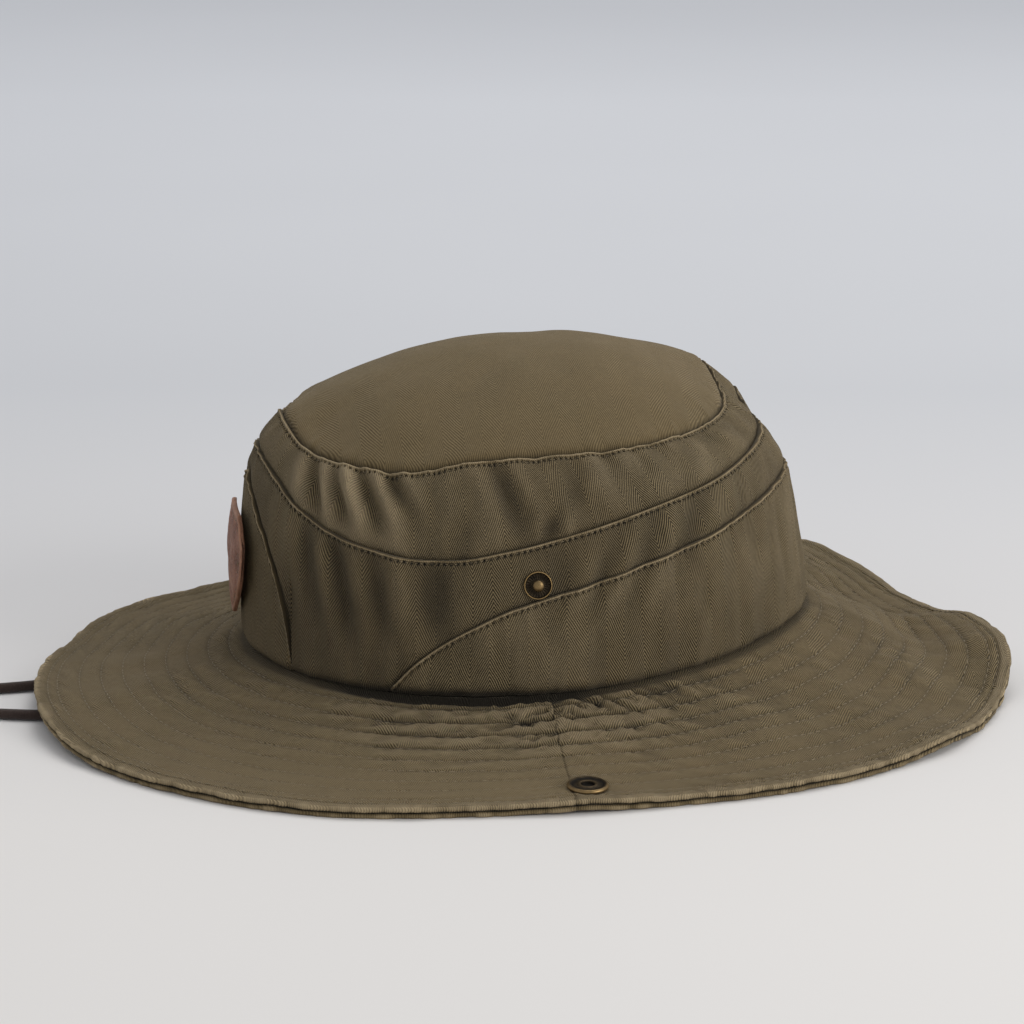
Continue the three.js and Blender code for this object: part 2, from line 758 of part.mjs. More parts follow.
const half_back_gap = THREE.MathUtils.radToDeg(seam_gap / crown_base_width);
const band_start = back_seam_turn + half_back_gap;
const band_end = back_turn - half_back_gap;
const tip_turns = 1;
const arch_tip = 0.4;

const crown = new THREE.Group();
crown.add(named("crown_top", crownTop(), olive_cloth));
crown.add(
  named(
    "upper_band",
    wallPanel(
      band_start,
      band_end,
      (turn) => upperSeam(turn) + gapShare(upperSeam, turn),
      (turn) => 1 - gapShare(() => 1, turn),
      band_row_count,
    ),
    olive_cloth,
  ),
);
const middle_band = wallPanel(
  band_start,
  band_end,
  middleBandFoot,
  (turn) => upperSeam(turn) - gapShare(upperSeam, turn),
  arch_row_count,
);
crown.add(
  named("middle_band", withHoles(middle_band, [studHole(stud_turn), studHole(left(stud_turn))]), olive_cloth),
);
crown.add(
  named(
    "front_panel",
    wallPanel(
      arch_start + arch_tip,
      left(arch_start + arch_tip),
      brimGapShare,
      (turn) => archSeam(turn) - gapShare(archSeam, turn),
      arch_row_count,
    ),
    olive_cloth,
  ),
);
const rear_head = (turn) => rearSeam(turn) - gapShare(rearSeam, turn);
const rear_left = wallPanel(left(rear_seam_end - tip_turns), band_end, brimGapShare, rear_head, band_row_count);
const rear_right = wallPanel(band_start, rear_seam_end - tip_turns, brimGapShare, rear_head, band_row_count);
crown.add(named("rear_panel_left", rear_left, olive_cloth));
crown.add(named("rear_panel_right", rear_right, olive_cloth));

const brim = new THREE.Group();
const socket_holes = [socketHole(socket_turn), socketHole(left(socket_turn))];
const brim_pieces = [
  { name: "brim_top_front", start: brim_seam_turn, end: left(brim_seam_turn), depth: 0 },
  { name: "brim_top_back", start: -brim_seam_turn, end: brim_seam_turn, depth: 0 },
  { name: "brim_under_front", start: brim_seam_turn, end: left(brim_seam_turn), depth: brim_ply + brim_ply_gap },
  { name: "brim_under_back", start: -brim_seam_turn, end: brim_seam_turn, depth: brim_ply + brim_ply_gap },
];
for (const piece of brim_pieces) {
  const ply = withHoles(brimHalf(piece.start, piece.end, piece.depth), socket_holes);
  brim.add(named(piece.name, ply, olive_cloth));
}

const trim = new THREE.Group();
trim.add(named("front_patch", frontPatch(), brown_leather));
trim.add(named("snap_stud_left", studSolid(left(stud_turn)), aged_brass));
trim.add(named("snap_stud_right", studSolid(stud_turn), aged_brass));
trim.add(named("snap_socket_left", socketSolid(left(socket_turn)), aged_brass));
trim.add(named("snap_socket_right", socketSolid(socket_turn), aged_brass));

const chin_strap = new THREE.Group();
chin_strap.add(named("chin_cord", chinCord(), dark_cord));
const slider = named("cord_slider", cordSlider(), brown_leather);
slider.position.set(slider_x, slider_y, slider_height / 2);
chin_strap.add(slider);

// The hat stands on z = 0 with its own middle, the cord apart, over the origin.
const hat_box = new THREE.Box3();
for (const group of [crown, brim, trim]) hat_box.expandByObject(group);
const hat_middle = hat_box.getCenter(new THREE.Vector3());

const hat = new THREE.Group();
hat.add(crown, brim, trim, chin_strap);
hat.position.set(-hat_middle.x, -hat_middle.y, -hat_box.min.z);
export default hat;
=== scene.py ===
import math
import bpy
import bmesh
import numpy as np
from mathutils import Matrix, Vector


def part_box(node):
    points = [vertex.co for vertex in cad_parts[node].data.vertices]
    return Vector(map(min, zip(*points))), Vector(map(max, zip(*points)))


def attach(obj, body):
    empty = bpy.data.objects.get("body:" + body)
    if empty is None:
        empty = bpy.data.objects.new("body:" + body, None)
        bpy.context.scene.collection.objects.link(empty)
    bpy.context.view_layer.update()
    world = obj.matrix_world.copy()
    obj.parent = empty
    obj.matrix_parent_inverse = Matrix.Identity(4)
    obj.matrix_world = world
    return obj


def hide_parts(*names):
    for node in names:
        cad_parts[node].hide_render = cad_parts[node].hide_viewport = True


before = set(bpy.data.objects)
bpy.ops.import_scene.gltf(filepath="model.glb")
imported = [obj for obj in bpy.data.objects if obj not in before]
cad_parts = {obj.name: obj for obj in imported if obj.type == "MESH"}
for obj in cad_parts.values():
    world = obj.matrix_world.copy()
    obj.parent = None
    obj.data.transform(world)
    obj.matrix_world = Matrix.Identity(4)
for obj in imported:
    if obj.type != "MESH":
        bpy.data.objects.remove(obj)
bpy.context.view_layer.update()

# The crown, as in the part's source.
crown_base_length = 198
crown_base_width = 160
crown_base_squareness = 2.05
crown_top_length = 153
crown_top_width = 128
crown_top_squareness = 2.2
crown_top_setback = 8.3
crown_seam_height = 29
crown_height = 102
dome_rise = 19
dome_setback = 5
dome_roundness = 2.2
cloth_thickness = 1.6
back_seam_turn = -12

# The brim.
brim_width = 70
brim_ply = 1.8
brim_ply_gap = 0.3
brim_lift = 18
brim_fold = 10
brim_slope_power = 1.9
brim_flat_start = 0.94
brim_seam_turn = 91.5
brim_stack = 2 * brim_ply + brim_ply_gap

# The press studs.
stud_turn = 93.4
stud_height = 0.491
stud_diameter = 9.5
stud_rim_height = 1.3
stud_ball_diameter = 4.1
stud_ball_height = 3
stud_washer_diameter = 8
stud_washer_thickness = 0.8
socket_turn = 89.5
socket_reach = 0.84
socket_diameter = 13.5
socket_rim_height = 1.4
socket_hole_diameter = 4.4
socket_cap_diameter = 8
socket_cap_thickness = 0.5
snap_clearance = 0.35

# The leather patch.
patch_width = 44
patch_height = 37
patch_bottom = 10
patch_thickness = 2.6
patch_edge_lift = 2.3
patch_clearance = 0.55

# The chin cord and its slider.
cord_diameter = 3.6
slider_length = 12
slider_width = 15
slider_height = 7
slider_hole_clearance = 0.3
slider_hole_spacing = 6.4
slider_x = -221
slider_y = -12

# Stitching and quilting.
seam_slit = 0.05
topstitch_inset = 1.25
topstitch_pitch = 2.3
topstitch_length = 1.75
quilt_first = 5.0
quilt_pitch = 7.2
quilt_count = 9
quilt_stitch_pitch = 3.3
quilt_stitch_length = 2.6
edge_stitch_inset = 4.3
patch_stitch_inset = 2.6
patch_stitch_pitch = 3.0
patch_stitch_length = 2.2
thread_thickness = 0.36
lowest_stitch = 0.03
lowest_cloth = 0.04

# The relief of the cloth: the turned edge at a seam, its stitch holes and the tucked foot above it.
edge_fold = 0.4
edge_swell = 0.26
stitch_sink = 1.2
stitch_sink_width = 0.48
panel_tuck = 1.1
brim_tuck = 0.7
dome_tuck = 1.15
dent_scale = 2.7
top_quilt_depth = 0.5
under_quilt_depth = 0.4

# The herringbone weave: width of a stripe of ribs, and from one rib to the next.
weave_stripe = 6.5
rib_period = 0.68

# How fine the meshes are. Column steps are in degrees of turn, row steps in millimetres.
wall_column_step = 0.39
front_column_step = 0.36
top_ply_column_step = 0.43
under_ply_column_step = 0.86
wall_row_step = 1.5
dome_row_step = 1.9
dome_columns = 620
inner_row_every = 6
hidden_row_every = 12
turned_sides = 120
cord_mesh_sides = 16
cord_ring_gap = 1.2

# The rows beside a seam, in millimetres from it, and the one that the topstitching runs on.
near_rows = [0, 0.1, 0.24, 0.42, 0.65, 0.92, 1.25, 1.6, 2.1, 2.9, 4.1, 5.8, 8.0]
topstitch_row = 6
steepest_stretch = 10
least_turn = 0.03

# Steps for finding which way a surface faces, and how much of it leans toward the next at a seam.
share_nudge = 0.004
turn_nudge = 0.5
normal_blend = 0.1

# The camera, the lights and the room, in metres.
camera_lens = 131.2
camera_sensor = 36
camera_place = (-0.16526, -1.2439, 0.3955)
camera_aim = (-0.00138, 0.0011, 0.059)
light_colour = (1.0, 0.985, 0.955)
light_power = 12.5
light_rows = [
    ("top_light", (0.5, 0.5, 1.7), (0.02, 0, 0.05), (1.5, 1.2)),
    ("side_light", (1.3, -1.1, 0.75), (0.05, 0, 0.05), (1.0, 0.8)),
]
world_colour = (0.95, 0.965, 1.0, 1)
world_strength = 0.55
floor_reach = 4.5
# The floor's colours by the way into the picture: a warm tone near the hat and a bluish grey beyond, with
# painted shading that darkens a band behind the hat, as the light falls off.
floor_colours_and_painted_shade = [
    (0.015, (0.78, 0.76, 0.74)), (0.115, (0.7, 0.69, 0.69)),
    (0.26, (0.615, 0.625, 0.65)), (0.62, (0.76, 0.775, 0.81)),
]

# Height of the crown's seam on the brim, as a share of crown_seam_height, by turn.
base_rows = [
    (0, 1.0), (30, 0.95), (60, 0.775), (90, 0.6), (120, 0.55), (150, 0.565), (180, 0.6),
    (210, 0.565), (240, 0.55), (270, 0.6), (300, 0.76), (330, 0.935), (360, 1.0),
]

# Height of the seam round the crown's top, as a share of crown_height, by turn.
top_rows = [
    (0, 1.0), (25, 1.025), (45, 1.02), (65, 0.99), (90, 0.96), (125, 0.94), (155, 0.95), (180, 0.965),
    (192, 0.946), (205, 0.902), (218, 0.882), (240, 0.875), (250, 0.898), (262, 0.926), (290, 0.935),
    (310, 0.949), (335, 0.97), (360, 1.0),
]

# How far the wall has drawn in at each height: at the front, the back and the sides.
wall_rows = [
    (0, 0, 0, 0), (0.12, -0.04, 0.02, 0), (0.38, -0.05, 0.13, 0.05), (0.65, 0.08, 0.25, 0.22),
    (0.83, 0.34, 0.44, 0.5), (0.93, 0.62, 0.68, 0.75), (1, 1, 1, 1),
]

# The seams across the wall: share of its height by the angle from the back.
upper_seam_rows = [
    (0, 0.895), (12, 0.893), (31, 0.863), (50, 0.808), (65, 0.768), (84, 0.696), (100, 0.634),
    (108, 0.62), (116, 0.632), (133, 0.685), (150, 0.786), (160, 0.838), (170, 0.855), (180, 0.86),
]
rear_seam_rows = [
    (0, 0.7), (12, 0.7), (25, 0.68), (38, 0.652), (58, 0.578), (70, 0.534), (83, 0.473), (97, 0.4),
    (109, 0.288), (117, 0.172), (124.3, 0),
]
arch_rows = [
    (149.2, 0), (149.5, 0.05), (150, 0.15), (151.3, 0.3), (154, 0.425), (156.5, 0.492), (161, 0.58),
    (168, 0.66), (175, 0.715), (180, 0.75),
]
rear_seam_end = rear_seam_rows[-1][0]
arch_start = arch_rows[0][0]

# The brim's width and the height of its edge, as shares of brim_width and brim_lift, by turn.
brim_rows = [
    (0, 0.88, 0.66), (10, 0.83, 0.34), (20, 0.84, 0.34), (30, 0.89, 0.58), (40, 0.9, 0.83),
    (50, 0.91, 0.55), (60, 0.93, 0.3), (70, 0.94, 0.12), (80, 0.96, 0), (90, 0.965, 0.06),
    (100, 0.965, 0), (120, 0.96, 0), (135, 0.97, 0), (150, 0.98, 0.09), (165, 0.945, 0.16),
    (180, 1.02, 0.26), (192, 1.09, 0.26), (200, 1.135, 0.17), (208, 1.155, 0.06), (215, 1.15, 0),
    (230, 1.14, 0), (240, 1.12, 0), (250, 1.055, 0), (260, 0.995, 0), (270, 0.98, 0.06),
    (280, 0.965, 0), (290, 0.985, 0), (305, 1.01, 0), (312, 1.015, 0.02), (320, 1.035, 0.13),
    (330, 1.02, 0), (338, 1.01, 0.03), (345, 1.02, 0.43), (350, 0.985, 0.72), (360, 0.88, 0.66),
]

# Soft folds in the brim: turn, spread, reach, length and rise.
fold_rows = [
    (337, 9, 0.55, 0.3, 0.55), (352, 8, 0.6, 0.24, -0.7), (12, 9, 0.65, 0.25, -0.3),
    (36, 12, 0.6, 0.3, 0.3), (300, 9, 0.5, 0.25, 0.15), (160, 10, 0.5, 0.3, 0.2),
]

# The patch's half width by the share of its height.
patch_rows = [(0, 0.08), (0.1, 0.32), (0.28, 0.72), (0.5, 0.95), (0.75, 1.0), (0.92, 0.8), (1, 0.55)]

# The cord's route, as in the part's source.
cord_floor = cord_diameter / 2 + 0.2
slider_middle = slider_height / 2
cord_left_y = slider_y - slider_hole_spacing / 2
cord_right_y = slider_y + slider_hole_spacing / 2
cord_points = [
    (1, -75.6, 24), (0, -75.4, 13.5), (-1.2, -74.7, 7.6), (-4.6, -72.7, 3.7), (-10.2, -69.4, 2.3),
    (-22, -62.5, cord_floor), (-58, -49, cord_floor), (-110, -38, cord_floor), (-168, -31.5, cord_floor),
    (-196, -23, cord_floor),
    (slider_x + slider_length * 0.75, cord_left_y, slider_middle),
    (slider_x, cord_left_y, slider_middle),
    (slider_x - slider_length * 0.75, cord_left_y, slider_middle),
    (-240, -16.4, cord_floor), (-249, -19.5, cord_floor), (-257, -21.6, cord_floor),
    (-262.8, -19.8, cord_floor), (-266.2, -15, cord_floor), (-266.2, -9, cord_floor),
    (-262.8, -4.2, cord_floor), (-257, -2.4, cord_floor), (-249, -4.5, cord_floor),
    (-240, -7.6, cord_floor),
    (slider_x - slider_length * 0.75, cord_right_y, slider_middle),
    (slider_x, cord_right_y, slider_middle),
    (slider_x + slider_length * 0.75, cord_right_y, slider_middle),
    (-196, -1, cord_floor), (-168, 3.5, cord_floor), (-110, 22, cord_floor), (-58, 45, cord_floor),
    (-22, 62, cord_floor), (-10.2, 69.4, 2.3), (-4.6, 72.7, 3.7), (-1.2, 74.7, 7.6), (0, 75.4, 13.5),
    (1, 75.6, 24),
]

# Soft dents in the crown: turn, height up the wall, half width, half height, lean and depth.
crown_dents = [
    (262, 72, 4.5, 15, -0.15, 1.1),
    (236, 74, 3.5, 11, -0.55, 1.3),
    (229, 70, 3.5, 13, -0.6, 1.2),
    (222, 66, 3.5, 12, -0.6, 1.2),
    (215, 66, 4.0, 14, -0.5, 1.2),
    (290, 84, 4.0, 11, 0.25, 1.0),
    (306, 88, 3.5, 9, 0.35, 1.0),
    (314, 90, 3.5, 8, 0.35, 0.8),
    (278, 70, 5.0, 10, 0.3, 0.6),
    (270.5, 56, 3.0, 4.5, 0.5, 1.1),
    (246, 38, 7.0, 20, -0.1, 1.0),
    (234, 36, 5.0, 20, -0.2, 1.0),
    (225, 40, 4.5, 22, -0.2, 1.1),
    (217, 42, 4.0, 20, -0.2, 0.9),
    (252, 52, 6.0, 10, 0.2, 0.7),
    (270, 34, 5.0, 12, 0.2, 0.7),
    (279, 36, 4.0, 12, 0.5, 0.8),
    (289, 42, 4.0, 13, 0.5, 0.7),
    (300, 46, 5.0, 14, 0.4, 0.6),
]

# Where the soft crown has settled: a place, how wide, and the move there.
settlings = [
    (-82, 20, 95, 17, 0.3, 0, -3.3),
    (62, 20, 105, 17, 0, 0, 2.6),
    (85, 4, 87, 16, -3.6, 0, -2.4),
]

slider_low, slider_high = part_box("cord_slider")
shift = [(slider_low[i] + slider_high[i]) * 500 - (slider_x, slider_y)[i] for i in (0, 1)]


def place(points):
    """Millimetres in the part's frame as metres in the row frame."""
    return (np.asarray(points, float) + [shift[0], shift[1], 0]) / 1000


def settle(points):
    """Moves points to where the soft crown has settled."""
    points = np.asarray(points, float)
    moved = points.copy()
    for x, y, z, width, *move in settlings:
        away = np.linalg.norm(points - [x, y, z], axis=-1)
        moved = moved + np.exp(-((away / width) ** 2))[..., None] * move
    return moved


def aim_at(thing, place_from, target):
    thing.location = place_from
    thing.rotation_euler = (Vector(target) - Vector(place_from)).to_track_quat("-Z", "Y").to_euler()
    bpy.context.scene.collection.objects.link(thing)


def add_camera():
    data = bpy.data.cameras.new("camera")
    data.lens = camera_lens
    data.sensor_width = camera_sensor
    camera = bpy.data.objects.new("camera", data)
    aim_at(camera, camera_place, camera_aim)
    bpy.context.scene.camera = camera


add_camera()


# Smooth tables, ovals and noise.
def read_rows(rows, column, at):
    """A smooth curve through one column of a table, which never overshoots its rows."""
    keys = np.array([row[0] for row in rows], float)
    values = np.array([row[column] for row in rows], float)
    slopes = np.diff(values) / np.diff(keys)
    before = np.concatenate([slopes[:1], slopes])
    after = np.concatenate([slopes, slopes[-1:]])
    same = before * after > 0
    tangents = np.where(same, 2 * before * after / np.where(same, before + after, 1), 0)
    at = np.clip(at, keys[0], keys[-1])
    i = np.clip(np.searchsorted(keys, at) - 1, 0, len(keys) - 2)
    span = keys[i + 1] - keys[i]
    t = (at - keys[i]) / span
    start = (2 * t**3 - 3 * t**2 + 1) * values[i] + (t**3 - 2 * t**2 + t) * span * tangents[i]
    end = (3 * t**2 - 2 * t**3) * values[i + 1] + (t**3 - t**2) * span * tangents[i + 1]
    return start + end


def read_turns(rows, column, turn):
    """The same, for a table that goes once round the hat."""
    return read_rows(rows, column, np.mod(turn, 360))


def from_back(turn):
    """Degrees from the back of the hat, the same to both sides."""
    wrapped = np.mod(turn, 360)
    return np.minimum(wrapped, 360 - wrapped)


def oval_at(turn, squareness):
    """A point on a rounded oval of half width 1."""
    angle = np.radians(turn)
    c, s = np.cos(angle), np.sin(angle)
    size = (np.abs(c) ** squareness + np.abs(s) ** squareness) ** (-1 / squareness)
    return c * size, s * size


def lerp(a, b, t):
    return a + (b - a) * t


def unit(vectors):
    return vectors / np.maximum(np.linalg.norm(vectors, axis=-1, keepdims=True), 1e-12)


def travel(points):
    """How far along a line each of its points is."""
    return np.concatenate([[0], np.cumsum(np.linalg.norm(np.diff(points, axis=0), axis=-1))])


def ring_angles(sides):
    return 2 * math.pi * np.arange(sides) / sides


def bell(distance, width):
    """1 where distance is 0, fading to 0.37 at width."""
    return np.exp(-((distance / width) ** 2))


def near_turn(turn, middle, width):
    """1 at one turn, fading over width degrees to each side. It doesn't wrap round at the back."""
    return bell(np.mod(turn, 360) - middle, width)


def near_back(turn, middle, width):
    """The same, for turns close to the back, where it wraps round."""
    return bell(np.mod(turn + (180 - middle), 360) - 180, width)


def noise(points, size, seed):
    """Smooth noise from -1 to 1 at points, with lumps about twice size across."""
    spot = np.asarray(points, float) / size + seed * 17.37
    cell = np.floor(spot).astype(np.int64)
    part = spot - cell
    part = part**3 * (part * (part * 6 - 15) + 10)
    total = 0
    for corner in range(8):
        step = [(corner >> k) & 1 for k in range(3)]
        x, y, z = (cell[..., k] + step[k] for k in range(3))
        mixed = x * 374761393 + y * 668265263 + z * 1442695041
        mixed = (mixed ^ (mixed >> 13)) * 1274126177
        value = ((mixed ^ (mixed >> 16)) & 0xFFFF) / 32767.5 - 1
        for k in range(3):
            value = value * (part[..., k] if step[k] else 1 - part[..., k])
        total = total + value
    return total


# The surfaces of the part.
def crown_at(turn, height):
    """A point outside the crown's wall, height from 0 at the brim to 1 at the top seam."""
    bx, by = oval_at(turn, crown_base_squareness)
    tx, ty = oval_at(turn, crown_top_squareness)
    front = np.maximum(-bx, 0) ** 2
    back = np.maximum(bx, 0) ** 2
    drawn = (
        front * read_rows(wall_rows, 1, height)
        + back * read_rows(wall_rows, 2, height)
        + (1 - front - back) * read_rows(wall_rows, 3, height)
    )
    low = crown_seam_height * read_turns(base_rows, 1, turn)
    high = crown_height * read_turns(top_rows, 1, turn)
    x = lerp(crown_base_length / 2 * bx, crown_top_length / 2 * tx - crown_top_setback, drawn)
    y = lerp(crown_base_width / 2 * by, crown_top_width / 2 * ty, drawn)
    return np.stack([x, y, lerp(low, high, height)], -1)


def dome_at(turn, inward):
    """A point on the crown's top, inward from 0 at its seam to 1 at its highest point."""
    rim = crown_at(turn, np.ones_like(inward))
    rise = 1 - (1 - inward) ** dome_roundness
    x = lerp(rim[..., 0], dome_setback, inward)
    y = lerp(rim[..., 1], 0, inward)
    return np.stack([x, y, lerp(rim[..., 2], crown_height + dome_rise, rise)], -1)


def brim_fold_at(turn, reach):
    """The rise of the brim's soft folds."""
    inside = np.clip(reach, 0, brim_flat_start)
    fade = np.sin(math.pi * inside / brim_flat_start)
    total = np.zeros_like(turn + reach)
    for at, spread, middle, length, rise in fold_rows:
        away = np.mod(turn - at + 180, 360) - 180
        total = total + brim_fold * rise * fade * bell(away, spread) * bell(reach - middle, length)
    return total


def brim_at(turn, reach):
    """A point on the brim's upper face, reach from 0 at the crown's seam to 1 at the edge."""
    foot = crown_at(turn, np.zeros_like(turn))
    bx, by = oval_at(turn, crown_base_squareness)
    outward = unit(np.stack([bx / crown_base_length, by / crown_base_width], -1))
    width = brim_width * read_turns(brim_rows, 1, turn)
    edge = brim_stack + brim_lift * read_turns(brim_rows, 2, turn)
    slope = np.maximum(1 - np.maximum(reach, 0) / brim_flat_start, 0) ** brim_slope_power
    height = edge + (foot[..., 2] - edge) * slope + brim_fold_at(turn, reach)
    x = foot[..., 0] + outward[..., 0] * width * reach
    y = foot[..., 1] + outward[..., 1] * width * reach
    return np.stack([x, y, height], -1)


def normal_of(surface, turn, across):
    """The way a surface faces. Across is the share of it up the wall, into the dome or out on the brim."""
    low = np.maximum(across - share_nudge, 0)
    high = np.minimum(across + share_nudge, 1)
    along = surface(turn + turn_nudge, across) - surface(turn - turn_nudge, across)
    return unit(np.cross(along, surface(turn, high) - surface(turn, low)))


def seam_normal(turn):
    wall = normal_of(crown_at, turn, np.full_like(turn, 0.99))
    return unit(wall + normal_of(dome_at, turn, np.full_like(turn, 0.03)))


def crown_normal(turn, height):
    normal = normal_of(crown_at, turn, height)
    normal[..., 2] *= np.clip(height / normal_blend, 0, 1)
    near_top = np.clip((height - 0.9) / normal_blend, 0, 1)[..., None]
    return unit(lerp(unit(normal), seam_normal(turn), near_top))


def dome_normal(turn, inward):
    near_rim = np.clip((normal_blend - inward) / normal_blend, 0, 1)[..., None]
    normal = lerp(normal_of(dome_at, turn, np.minimum(inward, 0.97)), seam_normal(turn), near_rim)
    near_peak = np.clip((inward - 0.9) / 0.08, 0, 1)[..., None]
    return unit(lerp(unit(normal), np.array([0.0, 0.0, 1.0]), near_peak))


arc_turns = np.linspace(-360, 720, 4321)
arc_lengths = travel(crown_at(arc_turns, np.full_like(arc_turns, 0.3)))
arc_lengths -= np.interp(0, arc_turns, arc_lengths)
girth = np.interp(360, arc_turns, arc_lengths)


def around(turn):
    """Millimetres round the crown from the back."""
    return np.interp(turn, arc_turns, arc_lengths)


def upper_seam(turn):
    return read_rows(upper_seam_rows, 1, from_back(turn))


def rear_seam(turn):
    return read_rows(rear_seam_rows, 1, from_back(turn))


def arch_seam(turn):
    return read_rows(arch_rows, 1, from_back(turn))


# The relief of worn, sewn cloth, in millimetres along the surface's direction.
def stitch_pits(along):
    """1 at each hole of a row of topstitching and 0 between two holes."""
    return (0.5 + 0.5 * np.cos(2 * math.pi * along / topstitch_pitch)) ** 2


def ridge_relief(distance, along, level):
    """A turned edge with a row of topstitching, at the head of the lower of two panels."""
    inside = np.clip(edge_fold - distance, 0, edge_fold)
    drop = np.sqrt(np.maximum(edge_fold**2 - inside**2, 0)) - edge_fold
    spot = np.stack([along, 0 * along, 0 * along], -1)
    uneven = 1 + 0.45 * noise(spot, 3.1, 7) + 0.3 * noise(spot, 1.2, 8)
    swell = edge_swell * lerp(0.4, uneven, level) * bell(distance - 0.5, 0.45)
    swell = swell + 0.25 * np.exp(-distance / 4)
    pits = 0.1 + 0.9 * stitch_pits(along)
    sunk = stitch_sink * lerp(0.4, pits, level**2) * bell(distance - topstitch_inset, stitch_sink_width)
    return seam_strength(level) * (drop + swell - sunk)


def seam_strength(level):
    """A seam that climbs the wall steeply is pressed flat."""
    return np.clip(1.6 * level - 0.2, 0.08, 1)


def at_back(turn):
    """The crown near its back, where the cloth is smoother and its seams less rubbed."""
    return near_back(turn, 15, 45)


def tuck_relief(distance, depth):
    """The foot of the upper of two panels, which goes in under the turned edge."""
    return 0.2 * bell(distance - 4, 2.5) - depth * bell(distance, 1.5)


def pucker(along, up, distance, seed):
    """Small gathers that the stitches pull into the cloth beside a seam."""
    spot = np.stack([along, up * 0.22, up * 0], -1)
    fine = noise(spot, 1.9, seed)
    broad = noise(spot, 4.6, seed + 3)
    return (0.42 * fine + 0.6 * broad) * np.exp(-distance / 5)


def gathers(points, amplitude, seed):
    """Long soft folds that run up and down the wall."""
    spot = points * [1, 1, 0.3]
    fine = 0.7 * noise(spot, 6, seed + 5) + 0.3 * noise(spot, 3.4, seed + 6)
    return amplitude * (noise(spot, 12, seed) + fine) + 0.6 * noise(points, 30, seed + 9)


def dents(along, up):
    """The soft dents of crown_dents, each with a raised flank to both sides."""
    total = np.zeros_like(along)
    for turn, middle, half_width, half_height, lean, depth in crown_dents:
        rise = up - middle
        away = np.mod(along - around(turn) + girth / 2, girth) - girth / 2 - lean * rise
        flank = 0.45 * bell(np.abs(away) - 1.9 * half_width, half_width)
        total = total + dent_scale * depth * (flank - bell(away, half_width)) * bell(rise, half_height)
    return total


def crease_swell(turn):
    """How much deeper the crease between crown and brim is on the wearer's left."""
    return 0.75 * near_turn(turn, 251, 23)


def near_stud(points):
    """1 close to a stud, where the cloth is held flat."""
    total = 0
    for turn in (stud_turn, 360 - stud_turn):
        middle = crown_at(np.array(float(turn)), np.array(stud_height))
        total = total + bell(np.linalg.norm(points - middle, axis=-1), 7.5) ** 1.5
    return np.clip(total, 0, 1)


# Mesh making.
def add_piece(name, mesh, node, material):
    piece = bpy.data.objects.new(name, mesh)
    bpy.context.scene.collection.objects.link(piece)
    mesh.materials.append(material)
    if node:
        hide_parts(node)
    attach(piece, "root")
    return piece


def make_mesh(name, points, faces, weave=None, wear_and_shade=None):
    mesh = bpy.data.meshes.new(name)
    mesh.from_pydata(place(settle(points)).tolist(), [], faces)
    mesh.polygons.foreach_set("use_smooth", np.ones(len(mesh.polygons), bool))
    # The per-point float attribute holds real wear together with painted light and shade: above 0 it is
    # rubbed light or painted lit, below 0 it is painted shade.
    for layer, kind, field, values in (
        ("weave", "FLOAT_VECTOR", "vector", weave), ("wear_and_shade", "FLOAT", "value", wear_and_shade),
    ):
        if values is not None:
            data = mesh.attributes.new(layer, kind, "POINT").data
            data.foreach_set(field, np.ascontiguousarray(values, dtype=np.float32).ravel())
    return mesh


def loop_faces(columns, count, closed_round, flip):
    """Quads over sections that each close on themselves, with a lid at each end unless they go round."""
    i, j = np.meshgrid(np.arange(columns if closed_round else columns - 1), np.arange(count), indexing="ij")
    next_i, next_j = (i + 1) % columns, (j + 1) % count
    quads = [i * count + j, next_i * count + j, next_i * count + next_j, i * count + next_j]
    if flip:
        quads.reverse()
    faces = np.stack(quads, -1).reshape(-1, 4).tolist()
    if not closed_round:
        lids = [list(range(count)), [(columns - 1) * count + k for k in reversed(range(count))]]
        faces += [lid[::-1] if flip else lid for lid in lids]
    return faces


def weld(mesh):
    """Merges points that meet, as at the top of the dome."""
    work = bmesh.new()
    work.from_mesh(mesh)
    bmesh.ops.remove_doubles(work, verts=work.verts, dist=2e-6)
    bmesh.ops.delete(work, geom=[e for e in work.edges if not e.link_faces], context="EDGES")
    work.to_mesh(mesh)
    work.free()


def add_skin(name, section, node, material, weave=None, wear_and_shade=None, closed_round=False, flip=False):
    """A piece made of columns of points, each a section that closes on itself."""
    faces = loop_faces(*section.shape[:2], closed_round, flip)
    mesh = make_mesh(name, section.reshape(-1, 3), faces, weave, wear_and_shade)
    if closed_round:
        weld(mesh)
    return add_piece(name, mesh, node, material)


def steepness(edge, travelled):
    """How much farther a seam runs than its way round, from 1 where it is level."""
    return np.sqrt(1 + np.gradient(edge, travelled) ** 2)


def panel_rows(surface, turns, foot, head, step):
    """Rows up a panel, close together beside its seams: shares of the surface and distances."""
    shares = np.linspace(0, 1, 121)
    table = surface(*np.broadcast_arrays(turns[:, None], shares[None, :]))
    lengths = np.cumsum(np.linalg.norm(np.diff(table, axis=1), axis=-1), axis=1)
    lengths = np.concatenate([np.zeros((len(turns), 1)), lengths], 1)
    low, high = (
        np.array([np.interp(edge[c], shares, lengths[c]) for c in range(len(turns))])
        for edge in (foot, head)
    )
    total = np.maximum(high - low, 0.02)
    low_stretch, high_stretch = (
        np.clip(steepness(edge, around(turns)), 1, steepest_stretch) for edge in (low, high)
    )
    near = np.array(near_rows)
    squeeze = np.minimum(1, total / (1.2 * near[-1] * (low_stretch + high_stretch)))
    middle_count = max(3, int(round((total.max() - 2 * near[-1]) / step)))
    below = near * (squeeze * low_stretch)[:, None]
    above = total[:, None] - near[::-1] * (squeeze * high_stretch)[:, None]
    blend = np.linspace(0, 1, middle_count + 2)[1:-1]
    middle = below[:, -1:] + (above[:, :1] - below[:, -1:]) * blend
    rise = np.concatenate([below, middle, above], 1)
    across = np.stack([np.interp(low[c] + rise[c], lengths[c], shares) for c in range(len(turns))])
    return across, rise, total[:, None] - rise, low[:, None] + rise


